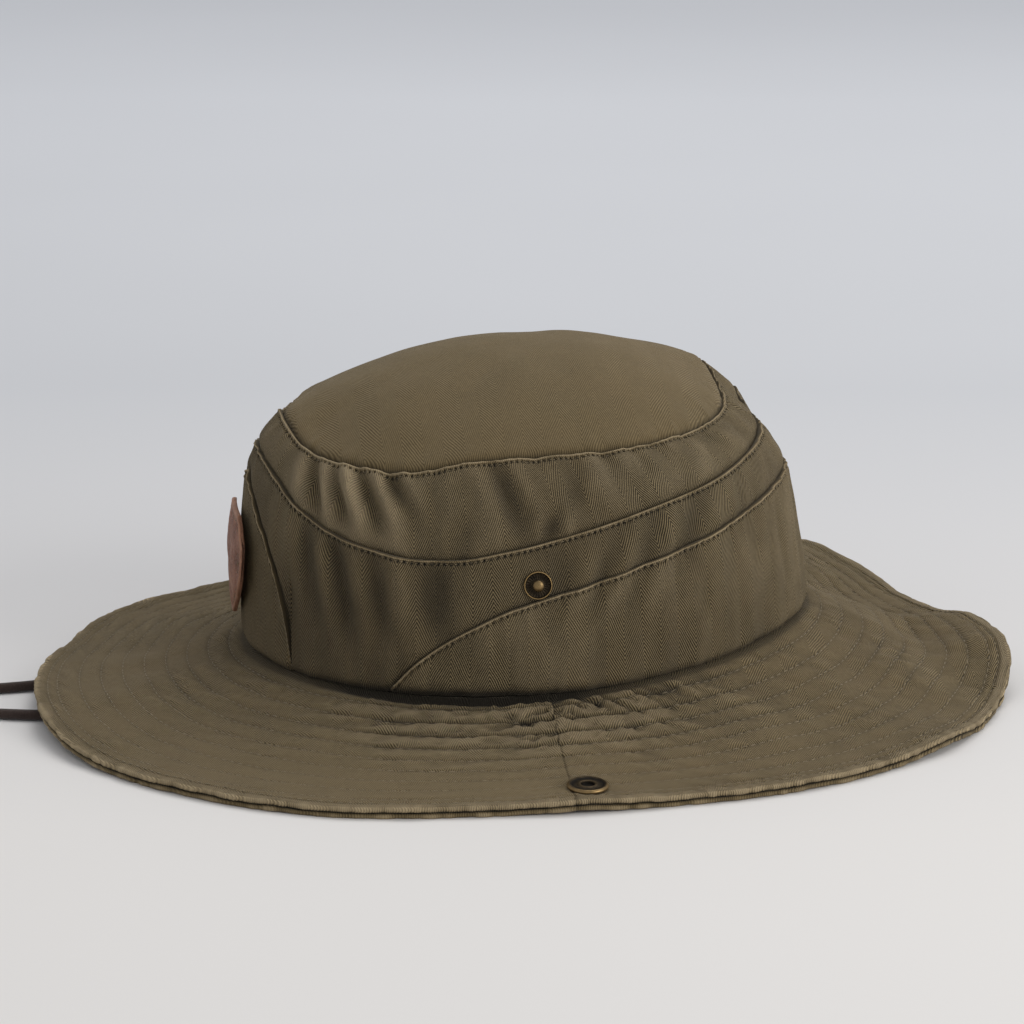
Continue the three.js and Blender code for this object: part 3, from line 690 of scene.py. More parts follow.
def wall_turns(start, end, step, extra=()):
    """The turns of a panel's columns, with extra ones where its seams are steep."""
    turns = np.linspace(start, end, int(round((end - start) / step)) + 1)
    extra = np.array([t for t in extra if start + least_turn < t < end - least_turn])
    if len(extra):
        near_extra = np.abs(turns[:, None] - extra).min(1) < least_turn
        near_extra[[0, -1]] = False
        turns = turns[~near_extra]
    return np.unique(np.concatenate([turns, extra]))


def end_relief(turns, start, end):
    """The groove where a panel ends at an upright seam."""
    distance = np.minimum(around(turns) - around(start), around(end) - around(turns))
    return -0.8 * bell(distance, 0.9) + 0.25 * bell(distance - 2.2, 1.2)


def wall_wear_and_shade(points, along, high, low, level_high, turn, soft, on_brim, seed):
    """Where a panel is rubbed light or painted lit, above 0, and where it is painted with shade, below 0.
    """
    pits = 0.08 + 0.92 * lerp(0.3, stitch_pits(along), level_high**2)
    rub = (1.05 + 0.5 * noise(points, 5, seed + 8)) * seam_strength(level_high) * (1 - 0.6 * at_back(turn))
    # The turned edge at the seam is rubbed light.
    wear_and_shade = rub * bell(high - 0.45, 0.35)
    # Painted shade in the stitch holes of the topstitching.
    wear_and_shade = wear_and_shade - 1.9 * seam_strength(level_high) * pits * bell(high - topstitch_inset, 0.55)
    # Painted shade at the panel's foot, where it tucks under the seam, and in a thin line along its head
    # where it meets the panel above; painted light and shade that follow the gathers and dents.
    wear_and_shade = wear_and_shade - 0.75 * bell(low, 0.6) - 0.9 * bell(high, 0.15) + 0.25 * np.clip(soft, -2.2, 1.5)
    # Painted shade in the crease where the wall stands on the brim.
    return wear_and_shade - on_brim * (0.25 + 1.9 * crease_swell(turn)) * bell(low, 2.4)


def wall_piece(
    node, start, end, foot, head, base_foot, seed, amount, painted_shade, step=wall_column_step, extra=(),
):
    """One cloth panel of the crown's wall. base_foot says how much of its foot stands on the brim."""
    turns = wall_turns(start, end, step, extra)
    across, low, high, up = panel_rows(crown_at, turns, foot(turns), head(turns), wall_row_step)
    turn = np.broadcast_to(turns[:, None], across.shape)
    along = around(turn)
    points = crown_at(turn, across)
    normals = crown_normal(turn, across)
    on_brim = base_foot(turns)[:, None]
    overhang = 1 + crease_swell(turn)
    calm = 1 - 0.85 * near_stud(points)
    still = 1 - 0.7 * np.exp(-high / 3) - 0.6 * np.exp(-low / 3)
    level_high, level_low = (1 / steepness(edge, along[:, 0])[:, None] for edge in (up[:, -1], up[:, 0]))
    high, low = high * level_high, low * level_low
    foot_tuck = tuck_relief(low, brim_tuck) - overhang * bell(low, 1.4 * overhang)
    tuck = (1 - on_brim) * tuck_relief(low, panel_tuck) + on_brim * foot_tuck
    soft = calm * still * (gathers(points, amount, seed + 4) + dents(along, up))
    relief = ridge_relief(high, along, level_high) * (1 - 0.5 * at_back(turn)) + tuck
    relief = relief + calm * pucker(along, up, high, seed) + calm * 0.6 * pucker(along, up, low, seed + 2)
    relief = relief + soft + 0.25 * (1 - calm) + end_relief(turns, start, end)[:, None]
    outer = points + normals * relief[..., None]
    last_row = across.shape[1] - 1
    inner_rows = np.unique([0, 3, *range(6, last_row - 2, inner_row_every), last_row])[::-1]
    inner = points + normals * (soft + on_brim * np.minimum(tuck, 0) - cloth_thickness - 0.1)[..., None]
    section = np.concatenate([outer, inner[:, inner_rows]], 1)
    woven = (1 - 0.65 * bell(high - 0.5, 0.9)) * (1 - 0.4 * at_back(turn))
    woven = woven * (1 - bell(high, 0.25)) * (1 - bell(low, 0.3))
    weave = np.stack([along + seed * 3.7, up + seed * 5.1, woven], -1)
    weave = np.concatenate([weave, weave[:, inner_rows]], 1)
    # The panel's painted shade darkens its colour, and paints light on it where it is below 0.
    wear_and_shade = wall_wear_and_shade(points, along, high, low, level_high, turn, soft, on_brim, seed) - painted_shade(turn)
    # The panel's inside is painted dark with shade, darkest at its edges.
    inner_painted_shade = np.full((len(turns), len(inner_rows)), -0.3)
    inner_painted_shade[:, [0, -1]] = -1.1
    wear_and_shade = np.concatenate([wear_and_shade, inner_painted_shade], 1)
    add_skin(node + "_cloth", section, node, cloth, weave, wear_and_shade)
    return outer[:, -1 - topstitch_row], normals[:, -1 - topstitch_row]


def stitches(line, directions, pitch, length, sides, rings):
    """Short stitches along a line of points: their points and faces."""
    travelled = travel(line)
    starts = np.arange(pitch * 0.6, travelled[-1] - pitch * 0.6, pitch)
    profile = np.linspace(-0.5, 0.5, rings)
    at = starts[:, None] + profile[None, :] * length
    middle = np.stack([np.interp(at, travelled, line[:, k]) for k in range(3)], -1)
    normal = unit(np.stack([np.interp(at, travelled, directions[:, k]) for k in range(3)], -1))
    along = unit(middle[:, -1:] - middle[:, :1])
    side = unit(np.cross(normal, along))
    bow = 1 - (2 * profile) ** 2
    radius = thread_thickness / 2 * (0.55 + 0.45 * np.sqrt(bow))
    middle = middle + normal * (0.26 * bow - 0.16)[None, :, None]
    angle = ring_angles(sides)
    ring = (side[:, :, None] * np.cos(angle)[:, None] + normal[:, :, None] * np.sin(angle)[:, None])
    points = middle[:, :, None] + ring * radius[None, :, None, None]
    i, j = np.meshgrid(np.arange(rings - 1), np.arange(sides), indexing="ij")
    following = (j + 1) % sides
    here, ahead = i * sides, (i + 1) * sides
    quads = np.stack([here + j, here + following, ahead + following, ahead + j], -1).reshape(-1, 4)
    first = list(range(sides))[::-1]
    last = [(rings - 1) * sides + k for k in range(sides)]
    faces = []
    for n in range(len(starts)):
        offset = n * rings * sides
        faces += (quads + offset).tolist()
        faces.append([k + offset for k in first])
        faces.append([k + offset for k in last])
    return points.reshape(-1, 3), faces


def stitch_piece(name, lines, pitch, length, sides=5, rings=4):
    """The stitches of several lines as one piece."""
    all_points, all_faces, offset = [], [], 0
    for line, directions in lines:
        points, faces = stitches(line, directions, pitch, length, sides, rings)
        all_points.append(points)
        all_faces += [[k + offset for k in face] for face in faces]
        offset += len(points)
    points = np.concatenate(all_points)
    points[:, 2] = np.maximum(points[:, 2], lowest_stitch)
    add_piece(name, make_mesh(name, points, all_faces), None, thread)


# Materials.
class Nodes:
    """Short names for making a material's nodes."""

    def __init__(self, name):
        self.material = bpy.data.materials.new(name)
        self.material.use_nodes = True
        self.tree = self.material.node_tree
        self.shader = self.tree.nodes["Principled BSDF"]

    def node(self, kind, **settings):
        made = self.tree.nodes.new("ShaderNode" + kind)
        for key, value in settings.items():
            setattr(made, key, value)
        return made

    def feed(self, socket, value):
        """Sets a socket to a number or a colour, or links a node's output to it."""
        if isinstance(value, (int, float)):
            socket.default_value = value
        elif isinstance(value, tuple):
            socket.default_value = (*value, 1)
        else:
            self.tree.links.new(value, socket)

    def math(self, operation, *values, clamp=False):
        made = self.node("Math", operation=operation, use_clamp=clamp)
        for socket, value in zip(made.inputs, values):
            self.feed(socket, value)
        return made.outputs[0]

    def plus(self, a, b, clamp=False):
        return self.math("ADD", a, b, clamp=clamp)

    def minus(self, a, b):
        return self.math("SUBTRACT", a, b)

    def times(self, a, b, clamp=False):
        return self.math("MULTIPLY", a, b, clamp=clamp)

    def scaled(self, value, factor, offset):
        return self.math("MULTIPLY_ADD", value, factor, offset)

    def at_least(self, value, least):
        return self.math("MAXIMUM", value, least)

    def attribute(self, name, output):
        return self.node("Attribute", attribute_name=name).outputs[output]

    def parts(self, vector):
        split = self.node("SeparateXYZ")
        self.feed(split.inputs[0], vector)
        return split.outputs

    def noise(self, vector, scale, detail=3, roughness=0.55):
        made = self.node("TexNoise")
        values = {"Vector": vector, "Scale": scale, "Detail": detail, "Roughness": roughness}
        for name, value in values.items():
            self.feed(made.inputs[name], value)
        return made.outputs["Fac"]

    def ramp(self, value, stops):
        """A colour ramp. A stop's colour may be one number, for a grey."""
        made = self.node("ValToRGB")
        while len(made.color_ramp.elements) < len(stops):
            made.color_ramp.elements.new(0.5)
        for element, (position, colour) in zip(made.color_ramp.elements, stops):
            element.position = position
            element.color = (*(colour if isinstance(colour, tuple) else (colour,) * 3), 1)
        self.feed(made.inputs[0], value)
        return made.outputs[0]

    def mix(self, factor, a, b, kind="MIX"):
        made = self.node("Mix", data_type="RGBA", blend_type=kind)
        for socket, value in ((made.inputs[0], factor), (made.inputs[6], a), (made.inputs[7], b)):
            self.feed(socket, value)
        return made.outputs[2]

    def bump(self, height, distance):
        made = self.node("Bump")
        for name, value in {"Strength": 1, "Distance": distance, "Height": height}.items():
            self.feed(made.inputs[name], value)
        return made.outputs[0]

    def position(self):
        return self.node("TexCoord").outputs["Object"]

    def finish(self, looks):
        """Gives the shader its inputs and returns the material."""
        for name, value in looks.items():
            self.feed(self.shader.inputs[name], value)
        return self.material


def cloth_material():
    """Washed herringbone cotton: zigzag ribs at true size, slubs, fading, rubbed seams and edges, painted
    light on raised folds, and painted shade in creases, recesses and stitch holes.
    """
    n = Nodes("cloth")
    weave = n.attribute("weave", "Vector")
    wear_and_shade = n.attribute("wear_and_shade", "Fac")
    across, up, contrast = n.parts(weave)
    across = n.plus(across, n.times(n.minus(n.noise(weave, 0.06, 2), 0.5), 2.4))
    zigzag = n.math("PINGPONG", across, weave_stripe)
    phase = n.minus(n.times(zigzag, 0.883), n.times(up, 0.469))
    rib = n.scaled(n.math("SINE", n.times(phase, 2 * math.pi / rib_period)), 0.5, 0.5)
    yarn = n.noise(weave, 1.7, 2)
    strength = n.at_least(n.scaled(n.noise(weave, 0.09, 3), 1.5, -0.1), 0.65)
    ribbed = n.times(n.minus(rib, 0.5), strength)
    grain = n.minus(n.plus(yarn, n.noise(weave, 0.75, 2)), 1.0)
    ribbed = n.times(n.plus(n.times(ribbed, 2.7), n.times(grain, 0.85)), contrast)
    tone = n.plus(ribbed, 0.5, clamp=True)
    # The dark and light rib tones are partly the weave's own pattern and partly painted shade in the
    # grooves between the ribs.
    tones = [(0, (0.026, 0.0185, 0.008)), (0.5, (0.122, 0.088, 0.041)), (1, (0.3, 0.229, 0.12))]
    body = n.ramp(tone, tones)
    spot = n.position()
    fading = n.ramp(n.noise(spot, 22, 4, 0.6), [(0.35, 0), (0.68, 1)])
    base = n.mix(0.28, body, n.mix(fading, body, (0.18, 0.126, 0.064)))
    patches = n.ramp(n.noise(spot, 75, 3, 0.6), [(0.3, 0.8), (0.7, 1.16)])
    base = n.mix(0.5, base, n.mix(0.5, base, patches, "MULTIPLY"))
    # Above 0 a pale colour is mixed in: real rubbing on seams and edges, and painted light on raised folds
    # and quilting.
    rubbed_and_painted_shading = n.times(n.at_least(wear_and_shade, 0.0), n.scaled(yarn, 0.9, 0.5), clamp=True)
    base = n.mix(n.times(rubbed_and_painted_shading, 0.75), base, (0.41, 0.32, 0.195))
    # Below 0 near-black is mixed in: painted shade in the crease by the brim, stitch holes, tucked seam
    # edges, dents and the cloth's inside.
    sunk = n.times(n.at_least(n.times(wear_and_shade, -1.0), 0.0), 0.75, clamp=True)
    base = n.mix(sunk, base, (0.008, 0.0065, 0.004))
    height = n.plus(ribbed, n.times(n.noise(weave, 4.2, 2), 0.35))
    return n.finish({
        "Base Color": base, "Normal": n.bump(height, 0.00034), "Roughness": 0.93,
        "Specular IOR Level": 0.18, "Sheen Weight": 0.22, "Sheen Roughness": 0.55,
        "Sheen Tint": (0.75, 0.64, 0.47),
    })


def thread_material():
    n = Nodes("thread")
    base = n.ramp(n.noise(n.position(), 2600, 2), [(0.3, (0.12, 0.092, 0.052)), (0.7, (0.3, 0.24, 0.15))])
    return n.finish({
        "Base Color": base, "Roughness": 0.8, "Specular IOR Level": 0.25, "Sheen Weight": 0.15,
    })


def leather_material(name, dark, middle, light, grain, rough):
    """Grained leather with darker pores, worn light where it is rubbed."""
    n = Nodes(name)
    spot = n.position()
    cells = n.node("TexVoronoi", feature="DISTANCE_TO_EDGE")
    n.feed(cells.inputs["Scale"], grain)
    n.feed(cells.inputs["Vector"], spot)
    pores = n.ramp(cells.outputs["Distance"], [(0, 0), (0.12, 1)])
    fine = n.noise(spot, 900, 3)
    base = n.ramp(n.noise(spot, 90, 4, 0.6), [(0.3, dark), (0.55, middle), (0.8, light)])
    base = n.mix(0.55, base, n.mix(pores, (0.35, 0.3, 0.28), (1.1, 1.1, 1.1)), "MULTIPLY")
    wear_and_shade = n.attribute("wear_and_shade", "Fac")
    base = n.mix(n.times(n.at_least(wear_and_shade, 0.0), n.plus(fine, 0.2), clamp=True), base, light)
    return n.finish({
        "Base Color": base, "Normal": n.bump(n.plus(pores, n.times(fine, 0.6)), 0.00016),
        "Roughness": n.ramp(fine, [(0.3, rough - 0.1), (0.7, rough + 0.12)]), "Specular IOR Level": 0.28,
    })


def brass_material():
    """Aged brass: dark in the hollows, painted near black with shade where its attribute falls below 0,
    rubbed bright on the rims.
    """
    n = Nodes("snap_brass")
    wear_and_shade = n.attribute("wear_and_shade", "Fac")
    tarnish = n.noise(n.position(), 700, 4, 0.65)
    level = n.plus(n.times(tarnish, 0.35), wear_and_shade, clamp=True)
    tones = [(0.08, (0.012, 0.01, 0.008)), (0.4, (0.09, 0.064, 0.034)), (0.9, (0.42, 0.28, 0.12))]
    return n.finish({
        "Base Color": n.ramp(level, tones), "Normal": n.bump(tarnish, 0.00004),
        "Roughness": n.ramp(level, [(0.1, 0.62), (1, 0.26)]), "Metallic": 0.9,
    })


def suede_material():
    n = Nodes("cord_suede")
    spot = n.position()
    nap = n.noise(spot, 1500, 4, 0.7)
    tones = [(0.25, (0.018, 0.011, 0.009)), (0.55, (0.04, 0.026, 0.022)), (0.85, (0.085, 0.06, 0.05))]
    base = n.mix(n.times(n.noise(spot, 60, 3), 0.35), n.ramp(nap, tones), (0.075, 0.052, 0.042))
    return n.finish({
        "Base Color": base, "Normal": n.bump(nap, 0.00025), "Roughness": 0.95, "Specular IOR Level": 0.15,
        "Sheen Weight": 0.25, "Sheen Roughness": 0.5,
    })


cloth = cloth_material()
thread = thread_material()
patch_leather = leather_material(
    "patch_leather", (0.16, 0.06, 0.03), (0.31, 0.13, 0.072), (0.45, 0.25, 0.16), grain=900, rough=0.55,
)
slider_leather = leather_material(
    "slider_leather", (0.03, 0.017, 0.011), (0.055, 0.03, 0.02), (0.12, 0.07, 0.048), grain=1000, rough=0.6,
)
brass = brass_material()
suede = suede_material()


# The chin cord, a smooth tube along its route.
def cord_route():
    """The same smooth curve as the part's source draws through the cord's points."""
    points = np.array(cord_points, float)
    before = np.concatenate([[2 * points[0] - points[1]], points, [2 * points[-1] - points[-2]]])
    route = []
    for i in range(len(points) - 1):
        p0, p1, p2, p3 = before[i : i + 4]
        d0, d1, d2 = (np.linalg.norm(b - a) ** 0.5 for a, b in ((p0, p1), (p1, p2), (p2, p3)))
        leave = ((p1 - p0) / d0 - (p2 - p0) / (d0 + d1) + (p2 - p1) / d1) * d1
        arrive = ((p2 - p1) / d1 - (p3 - p1) / (d1 + d2) + (p3 - p2) / d2) * d1
        t = np.linspace(0, 1, 18, endpoint=False)[:, None]
        bend = (2 * p1 - 2 * p2 + leave + arrive) * t**3 + (3 * p2 - 3 * p1 - 2 * leave - arrive) * t**2
        route.append(p1 + leave * t + bend)
    route.append(points[-1:])
    route = np.concatenate(route)
    travelled = travel(route)
    even = np.arange(0, travelled[-1], cord_ring_gap)
    return np.stack([np.interp(even, travelled, route[:, k]) for k in range(3)], -1)


def add_cord():
    route = cord_route()
    route[:, 2] = np.maximum(route[:, 2], cord_diameter / 2 + 0.05)
    along = unit(np.gradient(route, axis=0))
    up = np.array([0.0, 0.0, 1.0])
    across = unit(np.cross(along, np.where(np.abs(along[:, 2:3]) > 0.9, [[1.0, 0.0, 0.0]], [up])))
    for i in range(1, len(route)):
        across[i] = unit(across[i - 1] - along[i] * np.dot(across[i - 1], along[i]))
    lift = np.cross(along, across)
    angle = ring_angles(cord_mesh_sides)
    ring = across[:, None] * np.cos(angle)[:, None] + lift[:, None] * np.sin(angle)[:, None]
    radius = cord_diameter / 2 * (1 + 0.02 * noise(route[:, None] + ring * 2.5, 2.2, 31))
    radius[[0, -1]] *= 0.8
    points = route[:, None] + ring * radius[..., None]
    return add_skin("chin_cord_suede", points, "chin_cord", suede, flip=True), route


def add_slider():
    """A leather bar with two holes side by side and softened edges."""
    bevel = 0.8
    curve = bpy.data.curves.new("slider", "CURVE")
    curve.dimensions = "2D"
    curve.fill_mode = "BOTH"
    curve.extrude = (slider_length / 2 - bevel) / 1000
    curve.bevel_depth = bevel / 1000
    curve.bevel_resolution = 4
    radius = slider_height / 2 - bevel
    reach = slider_width / 2 - slider_height / 2
    angles = np.linspace(-math.pi / 2, math.pi / 2, 17)
    right = [(reach + radius * math.cos(a), radius * math.sin(a)) for a in angles]
    outlines = [right + [(-x, -y) for x, y in right]]
    hole = cord_diameter / 2 + slider_hole_clearance + 0.02
    full = np.linspace(0, 2 * math.pi, 32, endpoint=False)
    for middle in (-slider_hole_spacing / 2, slider_hole_spacing / 2):
        outlines.append([(middle + hole * math.cos(-a), hole * math.sin(-a)) for a in full])
    for outline in outlines:
        spline = curve.splines.new("POLY")
        spline.points.add(len(outline) - 1)
        spline.points.foreach_set("co", [v for x, y in outline for v in (x / 1000, y / 1000, 0, 1)])
        spline.use_cyclic_u = True
    shape = bpy.data.objects.new("slider", curve)
    bpy.context.scene.collection.objects.link(shape)
    mesh = bpy.data.meshes.new_from_object(shape.evaluated_get(bpy.context.evaluated_depsgraph_get()))
    bpy.data.objects.remove(shape)
    flat = np.empty(len(mesh.vertices) * 3)
    mesh.vertices.foreach_get("co", flat)
    flat = flat.reshape(-1, 3) * 1000
    points = np.stack([slider_x + flat[:, 2], slider_y + flat[:, 0], slider_middle + flat[:, 1]], -1)
    mesh.vertices.foreach_set("co", place(points).ravel())
    mesh.flip_normals()
    mesh.materials.clear()
    mesh.polygons.foreach_set("use_smooth", np.ones(len(mesh.polygons), bool))
    mesh.set_sharp_from_angle(angle=math.radians(40))
    mesh.name = "cord_slider_leather"
    return add_piece("cord_slider_leather", mesh, "cord_slider", slider_leather)


cord_piece, cord_line = add_cord()
slider_piece = add_slider()

# The crown's panels.
back_seam_gap = 0.03
band_start = back_seam_turn + back_seam_gap
band_end = back_seam_turn + 360 - back_seam_gap
wall_height = crown_height - 0.6 * crown_seam_height
slit_share = seam_slit / wall_height
foot_lift = 0.25 / wall_height


def middle_foot(turn):
    angle = from_back(turn)
    over_rear = np.where(angle < rear_seam_end, rear_seam(turn), 0)
    over_front = np.where(angle > arch_start, arch_seam(turn), 0)
    return np.maximum(np.maximum(over_rear, over_front) + slit_share, foot_lift)


def middle_on_brim(turn):
    return np.clip(1 - (middle_foot(turn) - foot_lift) * 40, 0, 1)


def nowhere(turn):
    return np.zeros_like(turn)


def everywhere(turn):
    return np.ones_like(turn)


def wall_foot(turn):
    return np.full_like(turn, foot_lift)


def rear_head(turn):
    return np.maximum(rear_seam(turn) - slit_share, foot_lift + 0.003)


arch_turns = [t for row in arch_rows[:-1] for t in (row[0], 360 - row[0])]
arch_turns += [t + d for t in (arch_start, 360 - arch_start) for d in (-0.2, 0.1, 0.2, 0.3, 0.45)]
fine_turns = np.linspace(arch_start, 158, 800)
steep_turns = np.interp(np.arange(0.012, 0.5, 0.008), arch_seam(fine_turns), fine_turns)
arch_turns += [*steep_turns, *(360 - steep_turns)]

# Each panel is given a painted shade: the middle band painted darker all round and the upper band painted
# lighter near turn 222, standing in for the light that falls on them.
crown_lines = [
    wall_piece(
        "upper_band", band_start, band_end,
        lambda t: upper_seam(t) + slit_share, lambda t: np.full_like(t, 1 - slit_share), nowhere,
        seed=11, amount=0.95, painted_shade=lambda t: -0.6 * near_turn(t, 222, 20),
    ),
    wall_piece(
        "middle_band", band_start, band_end,
        middle_foot, lambda t: upper_seam(t) - slit_share, middle_on_brim,
        seed=23, amount=0.85, painted_shade=lambda t: np.full_like(t, 0.24), extra=arch_turns,
    ),
    wall_piece(
        "front_panel", arch_start + 0.05, 360 - arch_start - 0.05,
        wall_foot, lambda t: np.maximum(arch_seam(t) - slit_share, foot_lift + 0.004), everywhere,
        seed=37, amount=0.3, painted_shade=nowhere, step=front_column_step, extra=arch_turns,
    ),
    wall_piece(
        "rear_panel_left", 360 - rear_seam_end + 0.2, band_end, wall_foot, rear_head, everywhere,
        seed=41, amount=0.8, painted_shade=nowhere,
    ),
    wall_piece(
        "rear_panel_right", band_start, rear_seam_end - 0.2, wall_foot, rear_head, everywhere,
        seed=53, amount=0.6, painted_shade=nowhere,
    ),
]


def add_crown_top():
    turns = np.linspace(0, 360, dome_columns, endpoint=False)
    slit = np.full_like(turns, slit_share)
    across, low, *_ = panel_rows(dome_at, turns, slit, np.ones_like(turns), dome_row_step)
    count = across.shape[1]
    keep = [*range(count - 12), count - 8, count - 1]
    across, low = across[:, keep], low[:, keep]
    turn = np.broadcast_to(turns[:, None], across.shape)
    points = dome_at(turn, across)
    normals = dome_normal(turn, across)
    shallow = points * [1, 0.8, 0.3]
    calm = 1 - 0.8 * np.exp(-low / 5)
    relief = tuck_relief(low, dome_tuck) + 0.7 * pucker(around(turn), low, low, 61)
    relief = relief + calm * (0.7 * noise(shallow, 26, 62) + 0.3 * noise(shallow, 11, 64))
    outer = points + normals * relief[..., None]
    inner_rows = np.unique([*range(0, len(keep), inner_row_every), len(keep) - 1])[::-1]
    inner = points + normals * (np.clip(relief, -0.8, 1)[..., None] * 0.5 - cloth_thickness - 0.2)
    section = np.concatenate([outer, inner[:, inner_rows]], 1)
    weave = section * [1, 1, 0] + [2.2, 0, 0.22]
    # Painted shade where the top tucks under its seam, the whole top painted a little darker to tone down
    # the light on it, and its inside painted dark with shade.
    wear_and_shade = np.concatenate([-0.9 * bell(low, 0.9) - 0.07, np.full((len(turns), len(inner_rows)), -0.3)], 1)
    add_skin("crown_top_cloth", section, "crown_top", cloth, weave, wear_and_shade, closed_round=True)


add_crown_top()
stitch_piece("crown_stitching", crown_lines, topstitch_pitch, topstitch_length)


# The brim's two plies.
quilt_reaches = (quilt_first + quilt_pitch * np.arange(quilt_count)) / brim_width
ply_roll = brim_ply / 2
roll_points = 9

# About how far the crown's foot is from its middle, for distances round the brim.
mean_radius = 89


def brim_wave(turn, reach):
    """Soft unevenness that both plies share, and the crease along the crown."""
    points = brim_at(turn, reach)
    free = np.clip(read_turns(brim_rows, 2, turn) * 4, 0, 1)
    inside = np.sin(math.pi * np.clip(reach, 0, 1)) ** 0.7
    broad = 1.3 * noise(points, 27, 71) + 0.6 * noise(points, 12, 73) - 0.3
    flat_edge = np.clip((reach - 0.75) * 4, 0, 1)
    lift = 0.6 * np.maximum(noise(points * [1, 1, 0], 8, 75), 0) * flat_edge
    seam = reach * brim_width
    crease = (0.8 + 2.9 * crease_swell(turn)) * bell(np.maximum(seam, 0), 2.6)
    crease = crease * (1 - np.clip(-seam / 2.6, 0, 0.95))
    return broad * np.maximum(inside, free * 0.6) * (0.4 + 0.6 * free) + lift - crease


def near_socket(points):
    """1 close to a socket, where the brim is held flat."""
    total = 0
    for turn in (socket_turn, 360 - socket_turn):
        middle = brim_at(np.array(float(turn)), np.array(socket_reach))
        total = total + bell(np.linalg.norm((points - middle)[..., :2], axis=-1), 9.5) ** 2
    return np.clip(total, 0, 1)


def quilt_strength(turn, reach):
    """The quilting stands out by the crown on the wearer's left, and is pressed flat toward the front."""
    points = brim_at(turn, reach)
    pressed = near_turn(turn, 225, 55) * np.clip((reach - 0.35) * 3, 0, 1)
    drawn_in = 0.8 + 1.4 * bell(reach - 0.18, 0.24) * near_turn(turn, 262, 34)
    return np.clip((1 - 0.7 * pressed) * drawn_in * (0.75 + 0.5 * noise(points, 16, 77)), 0.15, 2.4)


def at_back_tip(turn):
    """The brim's tip at the back, where its turned edge is broadest and most worn."""
    return near_back(turn, -10, 32)


def quilt_relief(turn, reach, seed, depth):
    """Sunk rows of stitches with small gathers between them."""
    width = brim_width * read_turns(brim_rows, 1, turn)
    distance = reach * brim_width
    real = reach * width
    strength = quilt_strength(turn, reach)
    relief = np.zeros_like(reach)
    for row in quilt_reaches:
        relief = relief - depth * strength * bell((reach - row) * brim_width, 0.85)
    relief = relief - (0.6 + 1.0 * at_back_tip(turn)) * depth * bell(width - real - edge_stitch_inset, 0.6)
    row_number = np.floor((distance - quilt_first) / quilt_pitch)
    arc = np.radians(turn) * (mean_radius + real)
    spot = np.stack([arc, distance * 0.5, row_number * 3.1], -1)
    gather = strength * (0.5 * noise(spot, 2.0, seed) + 0.5 * noise(spot, 4.6, seed + 1))
    share = np.mod((distance - quilt_first) / quilt_pitch, 1)
    drawn = bell(reach - 0.04, 0.26) * near_turn(turn, 274, 24)
    folds = noise(np.stack([arc + 0.5 * distance, distance * 0.14, 0 * arc], -1), 2.5, seed + 2)
    relief = relief + 1.7 * drawn * folds
    between = np.sin(math.pi * share)
    relief = relief + gather * (0.45 + 0.55 * between) + 0.22 * strength * between
    return relief * np.clip(real / 3, 0, 1)


def brim_reach_rows():
    """Rows across the brim, close together beside each row of stitches."""
    offsets = np.array([-2.6, -1.5, -0.75, -0.3, 0, 0.3, 0.75, 1.5, 2.6]) / brim_width
    rows = [d / brim_width for d in (-3.4, -2.2, -1.1, -0.4, 0, 0.5, 1.1, 1.8)]
    rows += [row + offset for row in quilt_reaches for offset in offsets]
    rows += [1 - (edge_stitch_inset + d) / brim_width for d in (1.3, 0.8, 0.4, 0, -0.4, -0.8, -1.4, -2.1)]
    rows += [0.973, 0.98]
    return np.unique(np.round(rows, 5))


quilt_grid = brim_reach_rows()


def ply_edge(base, turn, count, top_ply, face, depths):
    """The turned edge of a ply: its points, its angle at each, and how uneven the edge is."""
    edge = brim_at(turn[:, -1:], np.ones((count, 1)))
    outward = unit((edge - brim_at(turn[:, -1:], np.full((count, 1), 0.9)))[..., :2])
    fine = noise(edge * [1, 1, 0], 2.1, 91 if top_ply else 95)
    broad = noise(edge * [1, 1, 0], 7.5, 93 if top_ply else 97)
    rim = edge.copy()
    rim[..., 2] = base[:, -1:, 2] - depths / 2
    rim[..., :2] -= outward * (ply_roll + (0 if top_ply else 0.35) - 0.3 * fine - 0.35 * broad)[..., None]
    swing = np.radians(np.linspace(80, -80, roll_points))[None, :]
    radius = ply_roll * (1.06 + 0.08 * fine)
    roll = np.repeat(rim, roll_points, axis=1)
    roll[..., :2] += outward * (radius * np.cos(swing))[..., None]
    roll[..., 2] += face * radius * np.sin(swing) + 0.22 * broad
    return roll, swing, fine


def ply_weave(section, turn, reach, margin, top_ply):
    """Where the weave lies on a ply, and how strongly its ribs show."""
    tip = at_back_tip(turn)
    seen_part = np.s_[:, : reach.shape[1]]
    weave = section * [1, 1, 0] + [0 if top_ply else 3.1, 0, 0.5]
    weave[..., 0] += np.where(np.abs(turn[:, :1] - 180) < 90, 2.9, 0)
    contrast = weave[..., 2]
    contrast[seen_part] += 0.35 * (np.minimum(quilt_strength(turn, reach), 1.7) - 0.8)
    contrast[seen_part] += (0.7 + 0.7 * tip) * bell(margin - 1.5, 2.2)
    contrast[:, reach.shape[1] :] += 0.6 * tip[:, :1] - (0 if top_ply else 0.3)
    row_number = np.floor((reach * brim_width - quilt_first) / quilt_pitch)
    weave[..., 1][seen_part] += 0.9 * np.mod(row_number * 0.37, 1) / 0.5
    return weave


